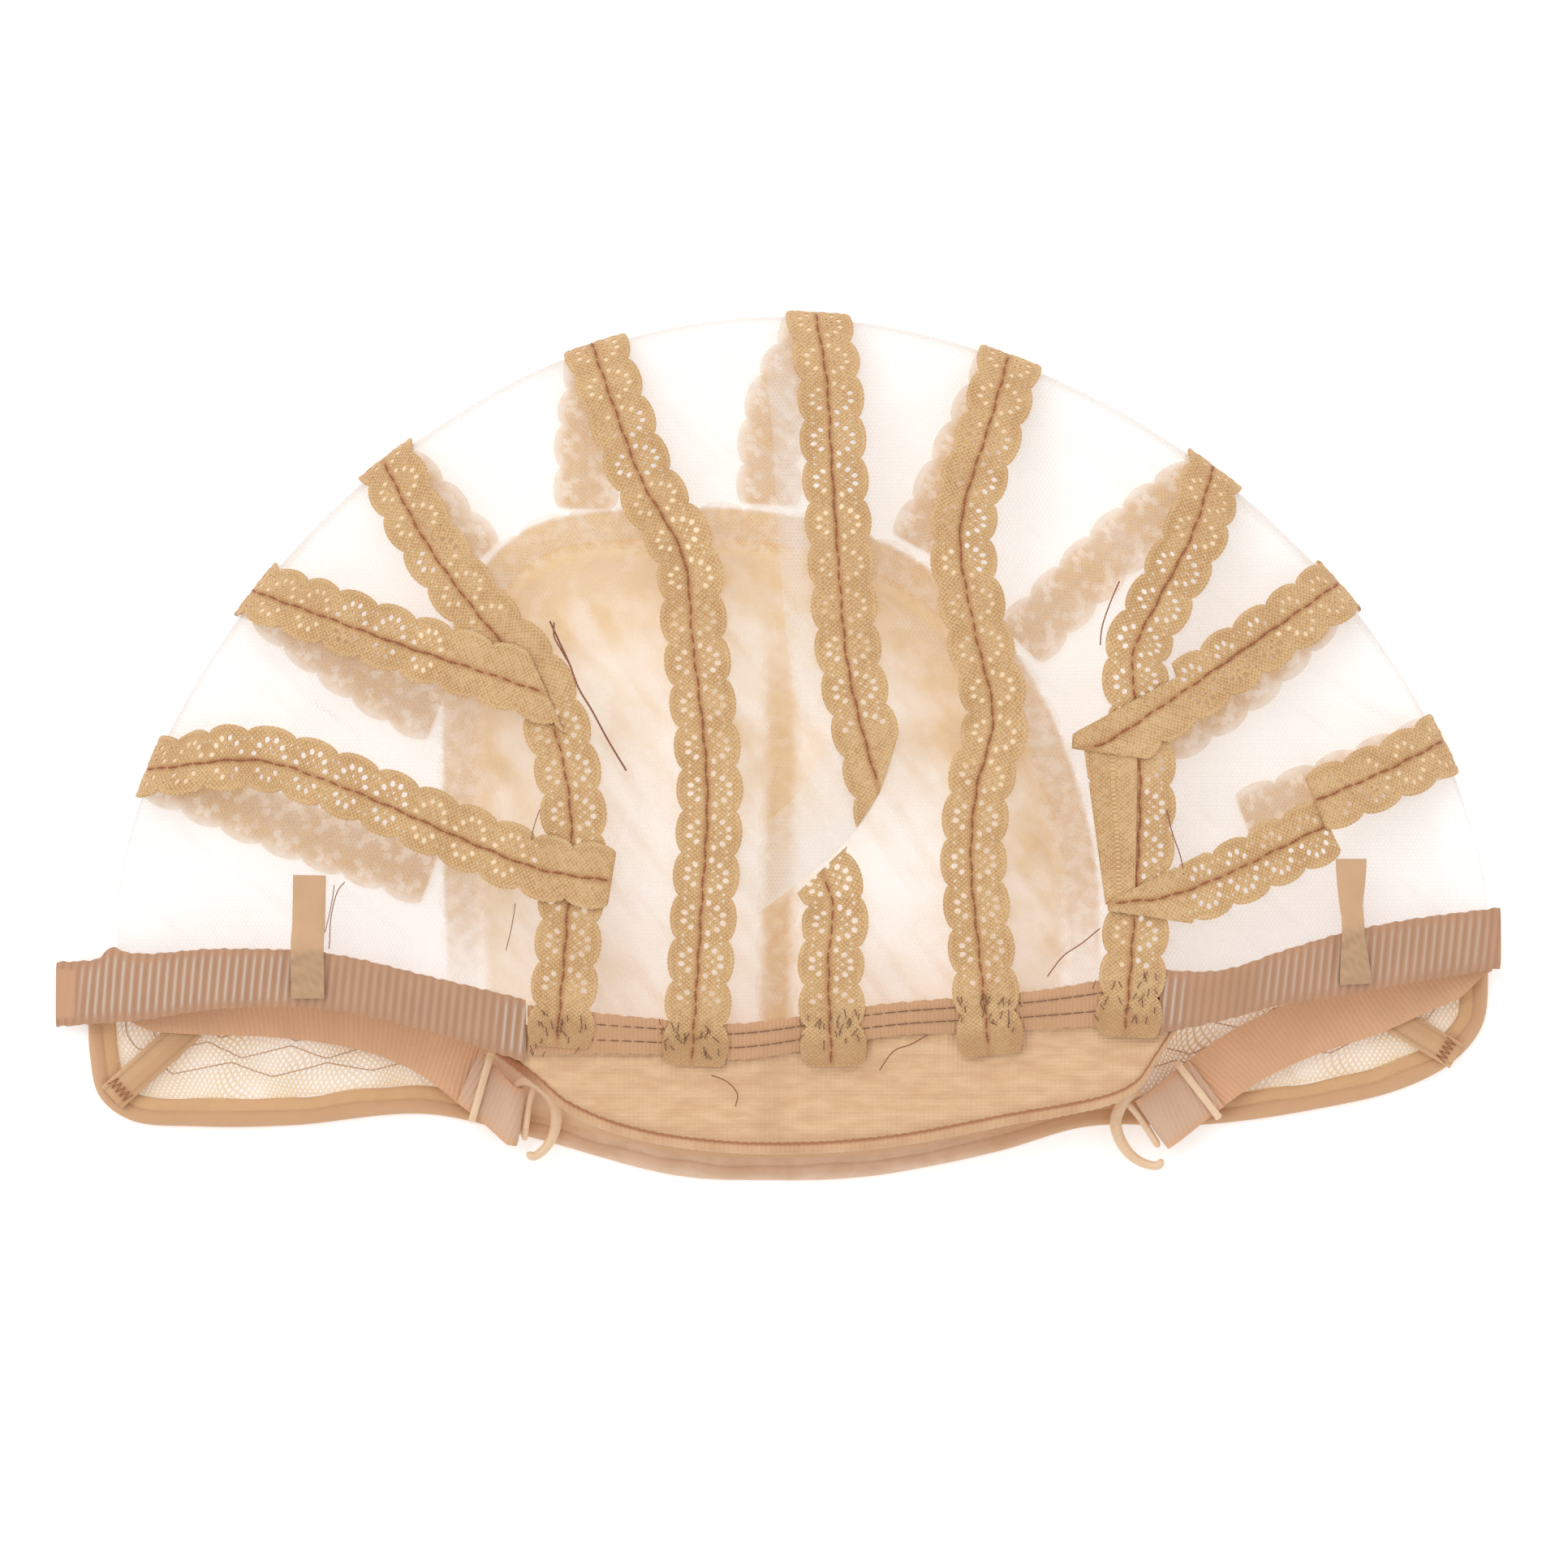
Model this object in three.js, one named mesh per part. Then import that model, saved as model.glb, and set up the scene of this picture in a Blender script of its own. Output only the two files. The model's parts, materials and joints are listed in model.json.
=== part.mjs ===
// Lace wig cap, lying flat as a hollow pouch with its seam side out.
// The nape half is the upper layer, the front half with two ear flaps is the lower layer,
// and the two are one net that folds over along the crown. +Y points to the crown, units are mm.
import * as THREE from "three";

// Cloth walls and the clearance that sewn pieces keep
const WALL = 1.0;
const GAP = 0.3;
const RIDE = WALL + GAP;
const STACK = WALL / 2 + GAP;

// Flattened dome: centre of its base line, half width, height and the two powers of its round edge
const DOME = { x: 4.8, y: -31.6, halfWidth: 132, height: 114, sidePower: 1.93, topPower: 1.6, lean: 4 };

// Heights: the lower net lies on the lower lace, the crown fold is round, the upper net is lofted
const NET_LOW = WALL + GAP + WALL / 2;
const FOLD_Z = 4.2;
const FOLD_SPAN = 0.025;
const CROWN_RISE = 16.5;
const LOFT_POWER = 3;
const LOFT_ROUND = 0.55;
const NAPE_DROOP = { start: -36, end: -80, share: 0.42 };
const NEARLY_EDGE = 0.9998;

// Crown net: columns round the fold, rows from the mouth to the fold as shares of the way
const NET_COLUMNS = 36;
const NET_END_INSET = 0.016;
const UPPER_ROWS = [0, 0.16, 0.32, 0.47, 0.61, 0.74, 0.85, 0.93, 0.975, 0.994];
const LOWER_ROWS = [0.994, 0.975, 0.94, 0.5, 0];
const NET_UNDER_BAND = 3;

// Lace trim: widths from its stitch line to its two edges, length and depth of a scallop
const LACE = { narrow: 5.2, wide: 6.2, scallop: 8.2, depth: 0.6, stations: 3 };
const LACE_RAMP = 4.5;
const FOLD_STATIONS = [0.25, 0.9, 2];

// Upper edge ribbons: each row is a place along X with the ribbon's top and bottom edges
const EAR_BAND_LEFT = [
  { x: -138.4, top: -42.0, bottom: -54.5 },
  { x: -127.0, top: -39.2, bottom: -53.5 },
  { x: -107.0, top: -39.2, bottom: -50.8 },
  { x: -86.0, top: -40.0, bottom: -50.8 },
  { x: -66.0, top: -44.5, bottom: -55.2 },
  { x: -48.2, top: -48.8, bottom: -61.0 },
];
const NAPE_BAND = [
  { x: -47.6, top: -50.0, bottom: -59.4 },
  { x: -22.0, top: -52.6, bottom: -59.4 },
  { x: -7.0, top: -53.4, bottom: -60.4 },
  { x: 21.0, top: -49.6, bottom: -56.0 },
  { x: 49.0, top: -47.2, bottom: -54.6 },
  { x: 72.6, top: -43.0, bottom: -53.6 },
];
const EAR_BAND_RIGHT = [
  { x: 73.2, top: -43.2, bottom: -55.4 },
  { x: 85.0, top: -43.2, bottom: -53.0 },
  { x: 97.0, top: -39.4, bottom: -49.8 },
  { x: 108.0, top: -36.2, bottom: -48.2 },
  { x: 121.0, top: -33.6, bottom: -45.8 },
  { x: 138.4, top: -31.4, bottom: -43.2 },
];
const BAND_SHOULDER = 0.985;
const BAND_TIP_SLOPE = 0.42;

// Nape panel: its free lower edge, closed by a rolled binding
const NAPE_EDGE = [
  { x: -46.6, bottom: -65.0 },
  { x: -40.0, bottom: -70.8 },
  { x: -28.0, bottom: -75.6 },
  { x: -12.0, bottom: -78.2 },
  { x: 6.0, bottom: -78.6 },
  { x: 24.0, bottom: -77.0 },
  { x: 44.0, bottom: -73.2 },
  { x: 62.0, bottom: -69.8 },
  { x: 69.0, bottom: -66.6 },
  { x: 72.3, bottom: -61.6 },
];
const BINDING = { width: 2.4, thick: 1.6 };
const PANEL_GAP = 0.7;

// Lower layer: free edge of the front half, ear flap to ear flap, with the tape folded over it
const HEM_EDGE = [
  { x: -133.2, y: -47.0 },
  { x: -132.9, y: -60.0 },
  { x: -131.0, y: -68.0 },
  { x: -125.0, y: -72.6 },
  { x: -112.0, y: -73.8 },
  { x: -94.0, y: -73.6 },
  { x: -68.0, y: -71.4 },
  { x: -48.0, y: -75.8 },
  { x: -20.0, y: -83.2 },
  { x: -1.0, y: -84.2 },
  { x: 18.0, y: -83.4 },
  { x: 42.0, y: -78.8 },
  { x: 60.0, y: -73.8 },
  { x: 82.0, y: -73.5 },
  { x: 104.0, y: -70.5 },
  { x: 121.0, y: -66.4 },
  { x: 131.0, y: -61.0 },
  { x: 136.4, y: -54.0 },
  { x: 137.6, y: -41.5 },
];
const HEM = { width: 5.4, top: NET_LOW + WALL / 2, stations: 78 };

// Lower layer: seam line between the crown net and the front lace panel
const ARCH = [
  { x: -58.0, y: -50.0 },
  { x: -59.0, y: -10.0 },
  { x: -57.0, y: 22.0 },
  { x: -46.0, y: 36.5 },
  { x: -22.0, y: 40.0 },
  { x: 0.0, y: 39.0 },
  { x: 20.0, y: 31.5 },
  { x: 38.5, y: 14.0 },
  { x: 48.0, y: -4.0 },
  { x: 54.0, y: -26.0 },
  { x: 57.0, y: -48.0 },
];
const SEAM_ENDS = { left: { x: -125.6, y: -43.2 }, right: { x: 134.7, y: -36.2 } };
const EAR_SHARE = 0.25;
const EAR_END = 0.97;
const SHEET_GAP = 0.4;

// Lace strips: plan points from the crown fold to the mouth, and from the fold over the lower layer;
// raised is the length at the mouth end that lies on another strip or on a ribbon
const STRIPS = [
  {
    raised: 20,
    upper: [[-121.9, -4.6], [-99.6, -3.2], [-84, -7.9], [-56, -19.9], [-44.9, -24], [-31.6, -26.2]],
    lower: [[-100, -14], [-68.6, -25.4]],
  },
  {
    raised: 28,
    upper: [[-101, 29.6], [-89.3, 25.2], [-69, 17.9], [-50, 11.6], [-39.6, 7.8]],
    lower: [[-85, 16.5], [-71, 7.5]],
  },
  {
    raised: 10.5,
    upper: [
      [-77, 56], [-67.3, 38.7], [-55.9, 23.2], [-46.8, 13],
      [-42, 1], [-39.4, -14], [-40.2, -34], [-42.2, -58],
    ],
    lower: [[-69, 47.5], [-61, 39]],
  },
  {
    raised: 12,
    upper: [
      [-35.9, 77.7], [-30.7, 63], [-25.9, 50.4], [-18, 35.8],
      [-16.2, 20], [-13.4, -8], [-14.6, -33], [-16.4, -61.5],
    ],
    lower: [[-37.2, 60], [-37.5, 46.8]],
  },
  {
    raised: 0,
    upper: [[7.3, 82.4], [9.4, 70], [10.4, 54], [11.8, 33], [13.4, 15.5], [16, 3.5], [18.6, -6], [19, -12]],
    lower: [[-1, 64], [-2.2, 47]],
  },
  {
    raised: 14,
    upper: [
      [44.6, 75], [40.7, 61.5], [35.6, 45], [35, 37], [37.9, 21],
      [41.2, 5], [38, -9], [37, -22], [38.7, -41], [40.6, -59.6],
    ],
    lower: [[36.5, 58], [28.5, 42.5]],
  },
  {
    raised: 13.4,
    upper: [[85.5, 55.4], [79.6, 40.5], [72.6, 27], [68, 17], [69, 4], [69.3, -12], [68.4, -30], [66.4, -56]],
    lower: [[68, 41], [50, 22.5]],
  },
  {
    raised: 33,
    upper: [[108, 31], [90.2, 18.7], [72.6, 6.6], [62, 0], [56, -1.5]],
    lower: [[89, 12], [62, -5.5]],
  },
  {
    raised: 19,
    upper: [
      [129, 1], [114.5, -6.8], [106, -11.5], [103.2, -16.5],
      [94.3, -22], [84.6, -27], [73.5, -30.6], [64, -30.2],
    ],
    lower: [[108, -7.5], [90, -14.5], [67.5, -22]],
  },
];
const STRIP_TAIL = { raised: 12.5, path: [[8.2, -23.8], [10.2, -31], [9.8, -41], [10.4, -61.6]] };
const FRONT_STRIP = { halfWidth: 3.6, path: [[-2, 31], [-1.6, 0], [-1, -40], [-1, -76]] };

// Tabs on the ear bands: centre line, width and how much of the width is left at the waist
const TABS = [
  { name: "tab_left", width: 6.3, waist: 1, raised: 11, path: [[-89.4, -25.1], [-89.6, -38], [-89.6, -49]] },
  { name: "tab_right", width: 5.9, waist: 0.72, raised: 12, path: [[109.8, -22], [109.8, -33], [110.4, -46]] },
];
const TAB_RAMP = 4;

// Diagonal stays in the ear flaps, from the hem corner to the strap
const STAYS = [
  { name: "ear_stay_left", width: 5.8, from: [-129.6, -67], to: [-111.5, -56] },
  { name: "ear_stay_right", width: 4.6, from: [131.4, -59.8], to: [115.5, -53.4] },
];

// Adjusting straps: plan line from under the ear band to the fold in which the hook hangs;
// slider is the slider's distance from the fold, fold the direction across the folded end, and lean the
// length over which the strap turns to it
const STRAP = { width: 11.2, bottom: 3.9, stations: 20 };
const TURN = { radius: 1.6, steps: 8, back: 11.5, backSteps: 6, backDrop: 5.6 };
const LEAN_END = 2;
const STRAPS = [
  {
    side: "left",
    hookSide: 1,
    slider: 8.0,
    fold: [0.147, 0.989],
    lean: 22,
    path: [[-128, -49.4], [-111, -50.4], [-97, -50.9], [-83, -52.7], [-72, -55.9], [-63.7, -60.5], [-51.2, -71.6]],
  },
  {
    side: "right",
    hookSide: -1,
    slider: 9.3,
    fold: [0.57, -0.822],
    lean: 9,
    path: [[133.6, -42.4], [123, -46.6], [114.5, -50.4], [102, -54.6], [90.2, -60.2], [73.7, -72.3]],
  },
];
const SLIDER = { length: 1.6, wall: 1.0, side: 1.0, slack: 0.6 };
const HOOK = { radius: 0.8, sides: 6, steps: 28, tilt: 0.22 };
const HOOK_LINE = [
  { across: -4.6, out: 0 },
  { across: 5.6, out: 0 },
  { across: 7.0, out: 2.0 },
  { across: 6.2, out: 4.9 },
  { across: 4.3, out: 7.4 },
  { across: 0.9, out: 8.7 },
  { across: -2.7, out: 8.6 },
  { across: -5.5, out: 7.3 },
  { across: -7.2, out: 5.3 },
  { across: -6.6, out: 4.0 },
];

// How many columns and rows each cloth piece is divided into
const DIVIDE = {
  frontRows: 5,
  frontStrip: 24,
  ear: { columns: 18, rows: 2 },
  stay: 4,
  tail: 18,
  tab: 12,
  earBandLeft: 22,
  napeBand: 26,
  earBandRight: 18,
  napePanel: { columns: 26, rows: 3 },
  binding: 30,
};

const MATERIALS = {
  net: { color: 0xf4ece4, roughness: 0.8, metalness: 0 },
  panel: { color: 0xe3c7a4, roughness: 0.85, metalness: 0 },
  lace: { color: 0xd6a878, roughness: 0.75, metalness: 0 },
  ribbon: { color: 0xc69c78, roughness: 0.6, metalness: 0 },
  stretch: { color: 0xdcb088, roughness: 0.7, metalness: 0 },
  tape: { color: 0xd0a078, roughness: 0.6, metalness: 0 },
  plastic: { color: 0xe0be98, roughness: 0.35, metalness: 0 },
};

const cap = new THREE.Group();

function addPiece(name, slot, geometry) {
  const mesh = new THREE.Mesh(geometry, new THREE.MeshStandardMaterial(MATERIALS[slot]));
  mesh.name = name;
  cap.add(mesh);
  return mesh;
}

// Smooth value of one column of a table at a place along X
function along(rows, column, x) {
  const last = rows.length - 2;
  const i = Math.min(last, Math.max(0, rows.findIndex((row) => row.x > x) - 1));
  const at = rows[i].x > x || x <= rows[last].x ? i : last;
  const [a, b] = [rows[at], rows[at + 1]];
  const before = rows[Math.max(0, at - 1)];
  const after = rows[Math.min(rows.length - 1, at + 2)];
  const span = b.x - a.x;
  const t = THREE.MathUtils.clamp((x - a.x) / span, 0, 1);
  const slopeA = ((b[column] - before[column]) / (b.x - before.x)) * span;
  const slopeB = ((after[column] - a[column]) / (after.x - a.x)) * span;
  const [t2, t3] = [t * t, t * t * t];
  return (
    (2 * t3 - 3 * t2 + 1) * a[column] +
    (t3 - 2 * t2 + t) * slopeA +
    (3 * t2 - 2 * t3) * b[column] +
    (t3 - t2) * slopeB
  );
}

function planCurve(points) {
  return new THREE.CatmullRomCurve3(points.map(([x, y]) => new THREE.Vector3(x, y, 0)), false, "centripetal");
}

function rowCurve(rows) {
  return planCurve(rows.map(({ x, y }) => [x, y]));
}

// Unit vector a quarter turn to the left of a plan direction
function leftOf(direction) {
  return new THREE.Vector3(-direction.y, direction.x, 0).normalize();
}

// Share of the way from the middle of the mouth (0) to the crown fold (1)
function reach(x, y) {
  const up = Math.max(0, y - DOME.y) / DOME.height;
  const side = Math.abs(x - DOME.x + DOME.lean * up ** 3) / DOME.halfWidth;
  return (side ** DOME.sidePower + up ** DOME.topPower) ** (1 / DOME.sidePower);
}

function reachGradient(x, y) {
  const step = 0.02;
  const dx = (reach(x + step, y) - reach(x - step, y)) / (2 * step);
  const dy = (reach(x, y + step) - reach(x, y - step)) / (2 * step);
  return new THREE.Vector3(dx, dy, 0);
}

// Moves a plan point along the steepest way until it has the given reach
function slideToReach(point, wanted) {
  const moved = point.clone();
  for (let turn = 0; turn < 6; turn += 1) {
    const gradient = reachGradient(moved.x, moved.y);
    const miss = (reach(moved.x, moved.y) - wanted) / gradient.lengthSq();
    moved.addScaledVector(gradient, -miss);
  }
  return moved;
}

// The crown fold line from the left end of the mouth (0) to its right end (1)
function foldLine() {
  const sideSteps = 3;
  const arcSteps = 60;
  const left = Array.from({ length: sideSteps }, (_, i) => [
    DOME.x - DOME.halfWidth,
    THREE.MathUtils.lerp(SEAM_ENDS.left.y + 1, DOME.y, i / sideSteps),
  ]);
  const right = Array.from({ length: sideSteps }, (_, i) => [
    DOME.x + DOME.halfWidth,
    THREE.MathUtils.lerp(DOME.y, SEAM_ENDS.right.y + 1, (i + 1) / sideSteps),
  ]);
  const arc = Array.from({ length: arcSteps + 1 }, (_, i) => {
    const angle = Math.PI * (1 - i / arcSteps);
    const up = Math.sin(angle) ** (2 / DOME.topPower);
    const side = Math.sign(Math.cos(angle)) * Math.abs(Math.cos(angle)) ** (2 / DOME.sidePower);
    return [DOME.x - DOME.lean * up ** 3 + side * DOME.halfWidth, DOME.y + up * DOME.height];
  });
  return planCurve([...left, ...arc, ...right]);
}

function droop(y) {
  return 1 - NAPE_DROOP.share * THREE.MathUtils.smoothstep(-y, -NAPE_DROOP.start, -NAPE_DROOP.end);
}

function loft(share) {
  return (1 - Math.min(share, NEARLY_EDGE) ** LOFT_POWER) ** LOFT_ROUND;
}

// Middle of the net's wall and its outward direction, on the upper or lower layer
function onCap(x, y, layer, lift) {
  const inside = reach(x, y) > 1 ? slideToReach(new THREE.Vector3(x, y, 0), 1) : new THREE.Vector3(x, y, 0);
  const share = Math.min(reach(inside.x, inside.y), NEARLY_EDGE);
  const gradient = reachGradient(inside.x, inside.y);
  const normal = new THREE.Vector3();
  if (layer === "upper") {
    const bend = -LOFT_ROUND * LOFT_POWER * share ** (LOFT_POWER - 1);
    const slope = CROWN_RISE * bend * (1 - share ** LOFT_POWER) ** (LOFT_ROUND - 1) * droop(inside.y);
    inside.z = FOLD_Z + CROWN_RISE * loft(share) * droop(inside.y);
    normal.set(-slope * gradient.x, -slope * gradient.y, 1).normalize();
  } else {
    const turn = Math.max(0, (share - 1 + FOLD_SPAN) / FOLD_SPAN);
    const drop = FOLD_Z - NET_LOW;
    const slope = (drop * turn) / (FOLD_SPAN * Math.sqrt(1 - turn * turn));
    inside.z = FOLD_Z - drop * Math.sqrt(1 - turn * turn);
    normal.set(slope * gradient.x, slope * gradient.y, -1).normalize();
  }
  return inside.addScaledVector(normal, lift);
}

// Point on an edge ribbon, which leaves the dome at its shoulder and droops to its free tip
function onBand(x, y, lift) {
  const across = BAND_SHOULDER * DOME.halfWidth;
  const near = THREE.MathUtils.clamp(x, DOME.x - across, DOME.x + across);
  const point = onCap(near, Math.min(y, DOME.y), "upper", lift);
  point.x += x - near;
  point.y = y;
  point.z -= BAND_TIP_SLOPE * Math.abs(x - near);
  return point;
}

// Closed wall between two grids of points; side 0 is the inner face and side 1 the outer one
function slab(columns, rows, pointAt) {
  const positions = [];
  for (const side of [0, 1]) {
    for (let i = 0; i <= columns; i += 1) {
      for (let j = 0; j <= rows; j += 1) {
        positions.push(...pointAt(i, j, side).toArray());
      }
    }
  }
  const at = (side, i, j) => (side * (columns + 1) + i) * (rows + 1) + j;
  const faces = [];
  const quad = (a, b, c, d) => faces.push(a, b, c, a, c, d);
  for (let i = 0; i < columns; i += 1) {
    for (let j = 0; j < rows; j += 1) {
      quad(at(1, i, j), at(1, i + 1, j), at(1, i + 1, j + 1), at(1, i, j + 1));
      quad(at(0, i, j), at(0, i, j + 1), at(0, i + 1, j + 1), at(0, i + 1, j));
    }
    quad(at(0, i, 0), at(0, i + 1, 0), at(1, i + 1, 0), at(1, i, 0));
    quad(at(0, i + 1, rows), at(0, i, rows), at(1, i, rows), at(1, i + 1, rows));
  }
  for (let j = 0; j < rows; j += 1) {
    quad(at(0, 0, j + 1), at(0, 0, j), at(1, 0, j), at(1, 0, j + 1));
    quad(at(0, columns, j), at(0, columns, j + 1), at(1, columns, j + 1), at(1, columns, j));
  }
  return facingOut(positions, faces);
}

function facingOut(positions, faces) {
  const geometry = new THREE.BufferGeometry();
  geometry.setAttribute("position", new THREE.Float32BufferAttribute(positions, 3));
  const corner = (n) => new THREE.Vector3().fromArray(positions, 3 * faces[n]);
  let volume = 0;
  for (let n = 0; n < faces.length; n += 3) {
    volume += corner(n).dot(corner(n + 1).cross(corner(n + 2)));
  }
  const turned = volume < 0 ? faces.map((_, n) => faces[n - (n % 3) + 2 - (n % 3)]) : faces;
  geometry.setIndex(turned);
  geometry.computeVertexNormals();
  return geometry;
}

// Upper edge of the mouth, under the edge ribbons
function mouthEdge(x) {
  const side = x > EAR_BAND_RIGHT[0].x ? EAR_BAND_RIGHT : NAPE_BAND;
  const rows = x < EAR_BAND_LEFT.at(-1).x ? EAR_BAND_LEFT : side;
  return along(rows, "top", x) - NET_UNDER_BAND;
}

// Lower edge of the crown net: ear seam, arch round the front panel, ear seam
function netSeam(share) {
  const archCurve = rowCurve(ARCH);
  const left = new THREE.Vector3(SEAM_ENDS.left.x, SEAM_ENDS.left.y, 0);
  const right = new THREE.Vector3(SEAM_ENDS.right.x, SEAM_ENDS.right.y, 0);
  if (share < EAR_SHARE) {
    return left.lerp(archCurve.getPoint(0), share / EAR_SHARE);
  }
  if (share > 1 - EAR_SHARE) {
    return right.lerp(archCurve.getPoint(1), (1 - share) / EAR_SHARE);
  }
  return archCurve.getPointAt((share - EAR_SHARE) / (1 - 2 * EAR_SHARE));
}

function crownNet() {
  const fold = foldLine();
  const rowCount = UPPER_ROWS.length + LOWER_ROWS.length;
  return slab(NET_COLUMNS, rowCount, (i, j, side) => {
    const share = i / NET_COLUMNS;
    const lift = side === 1 ? WALL / 2 : -WALL / 2;
    const edge = fold.getPointAt(share);
    if (j < UPPER_ROWS.length) {
      const x = DOME.x - (1 - NET_END_INSET) * DOME.halfWidth * Math.cos(Math.PI * share);
      const mouth = new THREE.Vector3(x, mouthEdge(x), 0);
      const plan = mouth.lerp(edge, UPPER_ROWS[j]);
      return onCap(plan.x, plan.y, "upper", lift);
    }
    if (j === UPPER_ROWS.length) {
      return onCap(edge.x, edge.y, "upper", lift);
    }
    const plan = netSeam(share).lerp(edge, LOWER_ROWS[j - UPPER_ROWS.length - 1]);
    return onCap(plan.x, plan.y, "lower", lift);
  });
}

// Evenly spaced places along a plan curve, with the distance from its start and its direction
function stations(curve, count) {
  return Array.from({ length: count + 1 }, (_, i) => {
    const share = i / count;
    const plan = curve.getPointAt(share);
    const direction = curve.getTangentAt(share);
    return { plan, direction, distance: share * curve.getLength() };
  });
}

// Extra places close to the crown fold, where the wall turns over
function foldStations(curve) {
  const length = curve.getLength();
  return FOLD_STATIONS.map((distance) => {
    const share = distance / length;
    return { plan: curve.getPointAt(share), direction: curve.getTangentAt(share), distance };
  });
}

function scallop(distance) {
  return LACE.depth * Math.cos((2 * Math.PI * distance) / LACE.scallop);
}

function laceStations(curve) {
  const step = LACE.scallop / LACE.stations;
  const count = Math.round(curve.getLength() / step);
  const past = FOLD_STATIONS.at(-1) + step / 3;
  return stations(curve, count).filter(({ distance }) => distance > past);
}

// Lace strip from its mouth end over the upper layer, round the fold and along the lower layer
function laceStrip({ raised, upper, lower }) {
  const start = slideToReach(new THREE.Vector3(upper[0][0], upper[0][1], 0), 1);
  const top = planCurve([[start.x, start.y], ...upper.slice(1)]);
  const under = planCurve([[start.x, start.y], ...lower]);
  const length = top.getLength();
  const fold = { plan: start, direction: top.getTangentAt(0), distance: 0, layer: "upper", fold: true };
  const upperRun = [...foldStations(top), ...laceStations(top)].map((s) => ({ ...s, layer: "upper" }));
  const lowerRun = [...foldStations(under), ...laceStations(under)].map((s) => ({ ...s, layer: "lower" }));
  const run = [...upperRun.reverse(), fold, ...lowerRun];
  return slab(run.length - 1, 1, (i, j, side) => {
    const { plan, direction, distance, layer } = run[i];
    const along = leftOf(direction);
    const inward = reachGradient(plan.x, plan.y).negate();
    const turned = leftOf(inward);
    const blend = THREE.MathUtils.smoothstep(reach(plan.x, plan.y), 0.88, 0.99);
    const across = along.lerp(turned, blend).normalize();
    const half = j === 0 ? -LACE.narrow - scallop(distance) : LACE.wide + scallop(distance);
    const climb = THREE.MathUtils.smoothstep(raised - (length - distance), -LACE_RAMP, 0);
    const lift = STACK + (raised > 0 && layer === "upper" ? climb * RIDE : 0) + side * WALL;
    const place = plan.clone().addScaledVector(across, half);
    const clear = run[i].fold ? slideToReach(place, 1) : place;
    return onCap(clear.x, clear.y, layer, lift);
  });
}

// Ribbon or lace that stays on the upper layer, with its last stretch raised over a band
function upperStrip({ path, raised, ramp, count, halfWidths }) {
  const curve = planCurve(path);
  const length = curve.getLength();
  const run = stations(curve, count);
  return slab(count, 1, (i, j, side) => {
    const { plan, direction, distance } = run[i];
    const climb = THREE.MathUtils.smoothstep(raised - (length - distance), -ramp, 0);
    const place = plan.clone().addScaledVector(leftOf(direction), halfWidths(distance, length)[j]);
    return onCap(place.x, place.y, "upper", STACK + climb * RIDE + side * WALL);
  });
}

// Flat band on a plan curve between two heights
function flatBand(curve, count, bottom, top, edges) {
  const run = stations(curve, count);
  return slab(count, 1, (i, j, side) => {
    const { plan, direction, distance } = run[i];
    const place = plan.clone().addScaledVector(leftOf(direction), edges(distance)[j]);
    place.z = side === 1 ? top : bottom;
    return place;
  });
}

function laceEdges(distance) {
  return [-LACE.narrow - scallop(distance), LACE.wide + scallop(distance)];
}

// Edge ribbon over the net's upper edge, a column for every few millimetres of X
function edgeBand(rows, columns) {
  return slab(columns, 1, (i, j, side) => {
    const x = THREE.MathUtils.lerp(rows[0].x, rows.at(-1).x, i / columns);
    const y = THREE.MathUtils.lerp(along(rows, "bottom", x), along(rows, "top", x), j);
    return onBand(x, y, STACK + side * WALL);
  });
}

function napePanel(columns, across) {
  return slab(columns, across, (i, j, side) => {
    const x = THREE.MathUtils.lerp(NAPE_EDGE[0].x, NAPE_EDGE.at(-1).x, i / columns);
    const bottom = along(NAPE_EDGE, "bottom", x) + BINDING.width + GAP;
    const top = along(NAPE_BAND, "top", x) - NET_UNDER_BAND - PANEL_GAP;
    const y = THREE.MathUtils.lerp(bottom, top, j / across);
    return onCap(x, y, "upper", side === 1 ? WALL / 2 : -WALL / 2);
  });
}

function napeBinding(columns) {
  return slab(columns, 1, (i, j, side) => {
    const x = THREE.MathUtils.lerp(NAPE_EDGE[0].x, NAPE_EDGE.at(-1).x, i / columns);
    const y = along(NAPE_EDGE, "bottom", x) + j * BINDING.width;
    return onCap(x, y, "upper", side === 1 ? BINDING.thick / 2 : -BINDING.thick / 2);
  });
}

// Sheet of the lower layer, ruled from the hem's inner edge to a seam
function lowerSheet({ columns, across, hemFrom, hemTo, seam }) {
  const hem = rowCurve(HEM_EDGE);
  return slab(columns, across, (i, j, side) => {
    const share = i / columns;
    const hemShare = THREE.MathUtils.lerp(hemFrom, hemTo, share);
    const inner = hem.getPointAt(hemShare);
    inner.addScaledVector(leftOf(hem.getTangentAt(hemShare)), HEM.width + SHEET_GAP);
    const place = inner.lerp(seam(share), j / across);
    place.z = NET_LOW + (side === 1 ? WALL / 2 : -WALL / 2);
    return place;
  });
}

// Share of the hem's length at which it passes a place along X on its lower run
function hemShareAt(x) {
  const hem = rowCurve(HEM_EDGE);
  let [low, high] = [0.1, 0.9];
  for (let turn = 0; turn < 30; turn += 1) {
    const middle = (low + high) / 2;
    if (hem.getPointAt(middle).x < x) {
      low = middle;
    } else {
      high = middle;
    }
  }
  return low;
}

// Plan direction across a strap, which turns to that of its fold towards its end
function acrossStrap(curve, { fold, lean }, share) {
  const square = leftOf(curve.getTangentAt(share));
  const fromEnd = (1 - share) * curve.getLength();
  const turned = 1 - THREE.MathUtils.smoothstep(fromEnd, LEAN_END, lean);
  return square.lerp(new THREE.Vector3(fold[0], fold[1], 0), turned).normalize();
}

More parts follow.
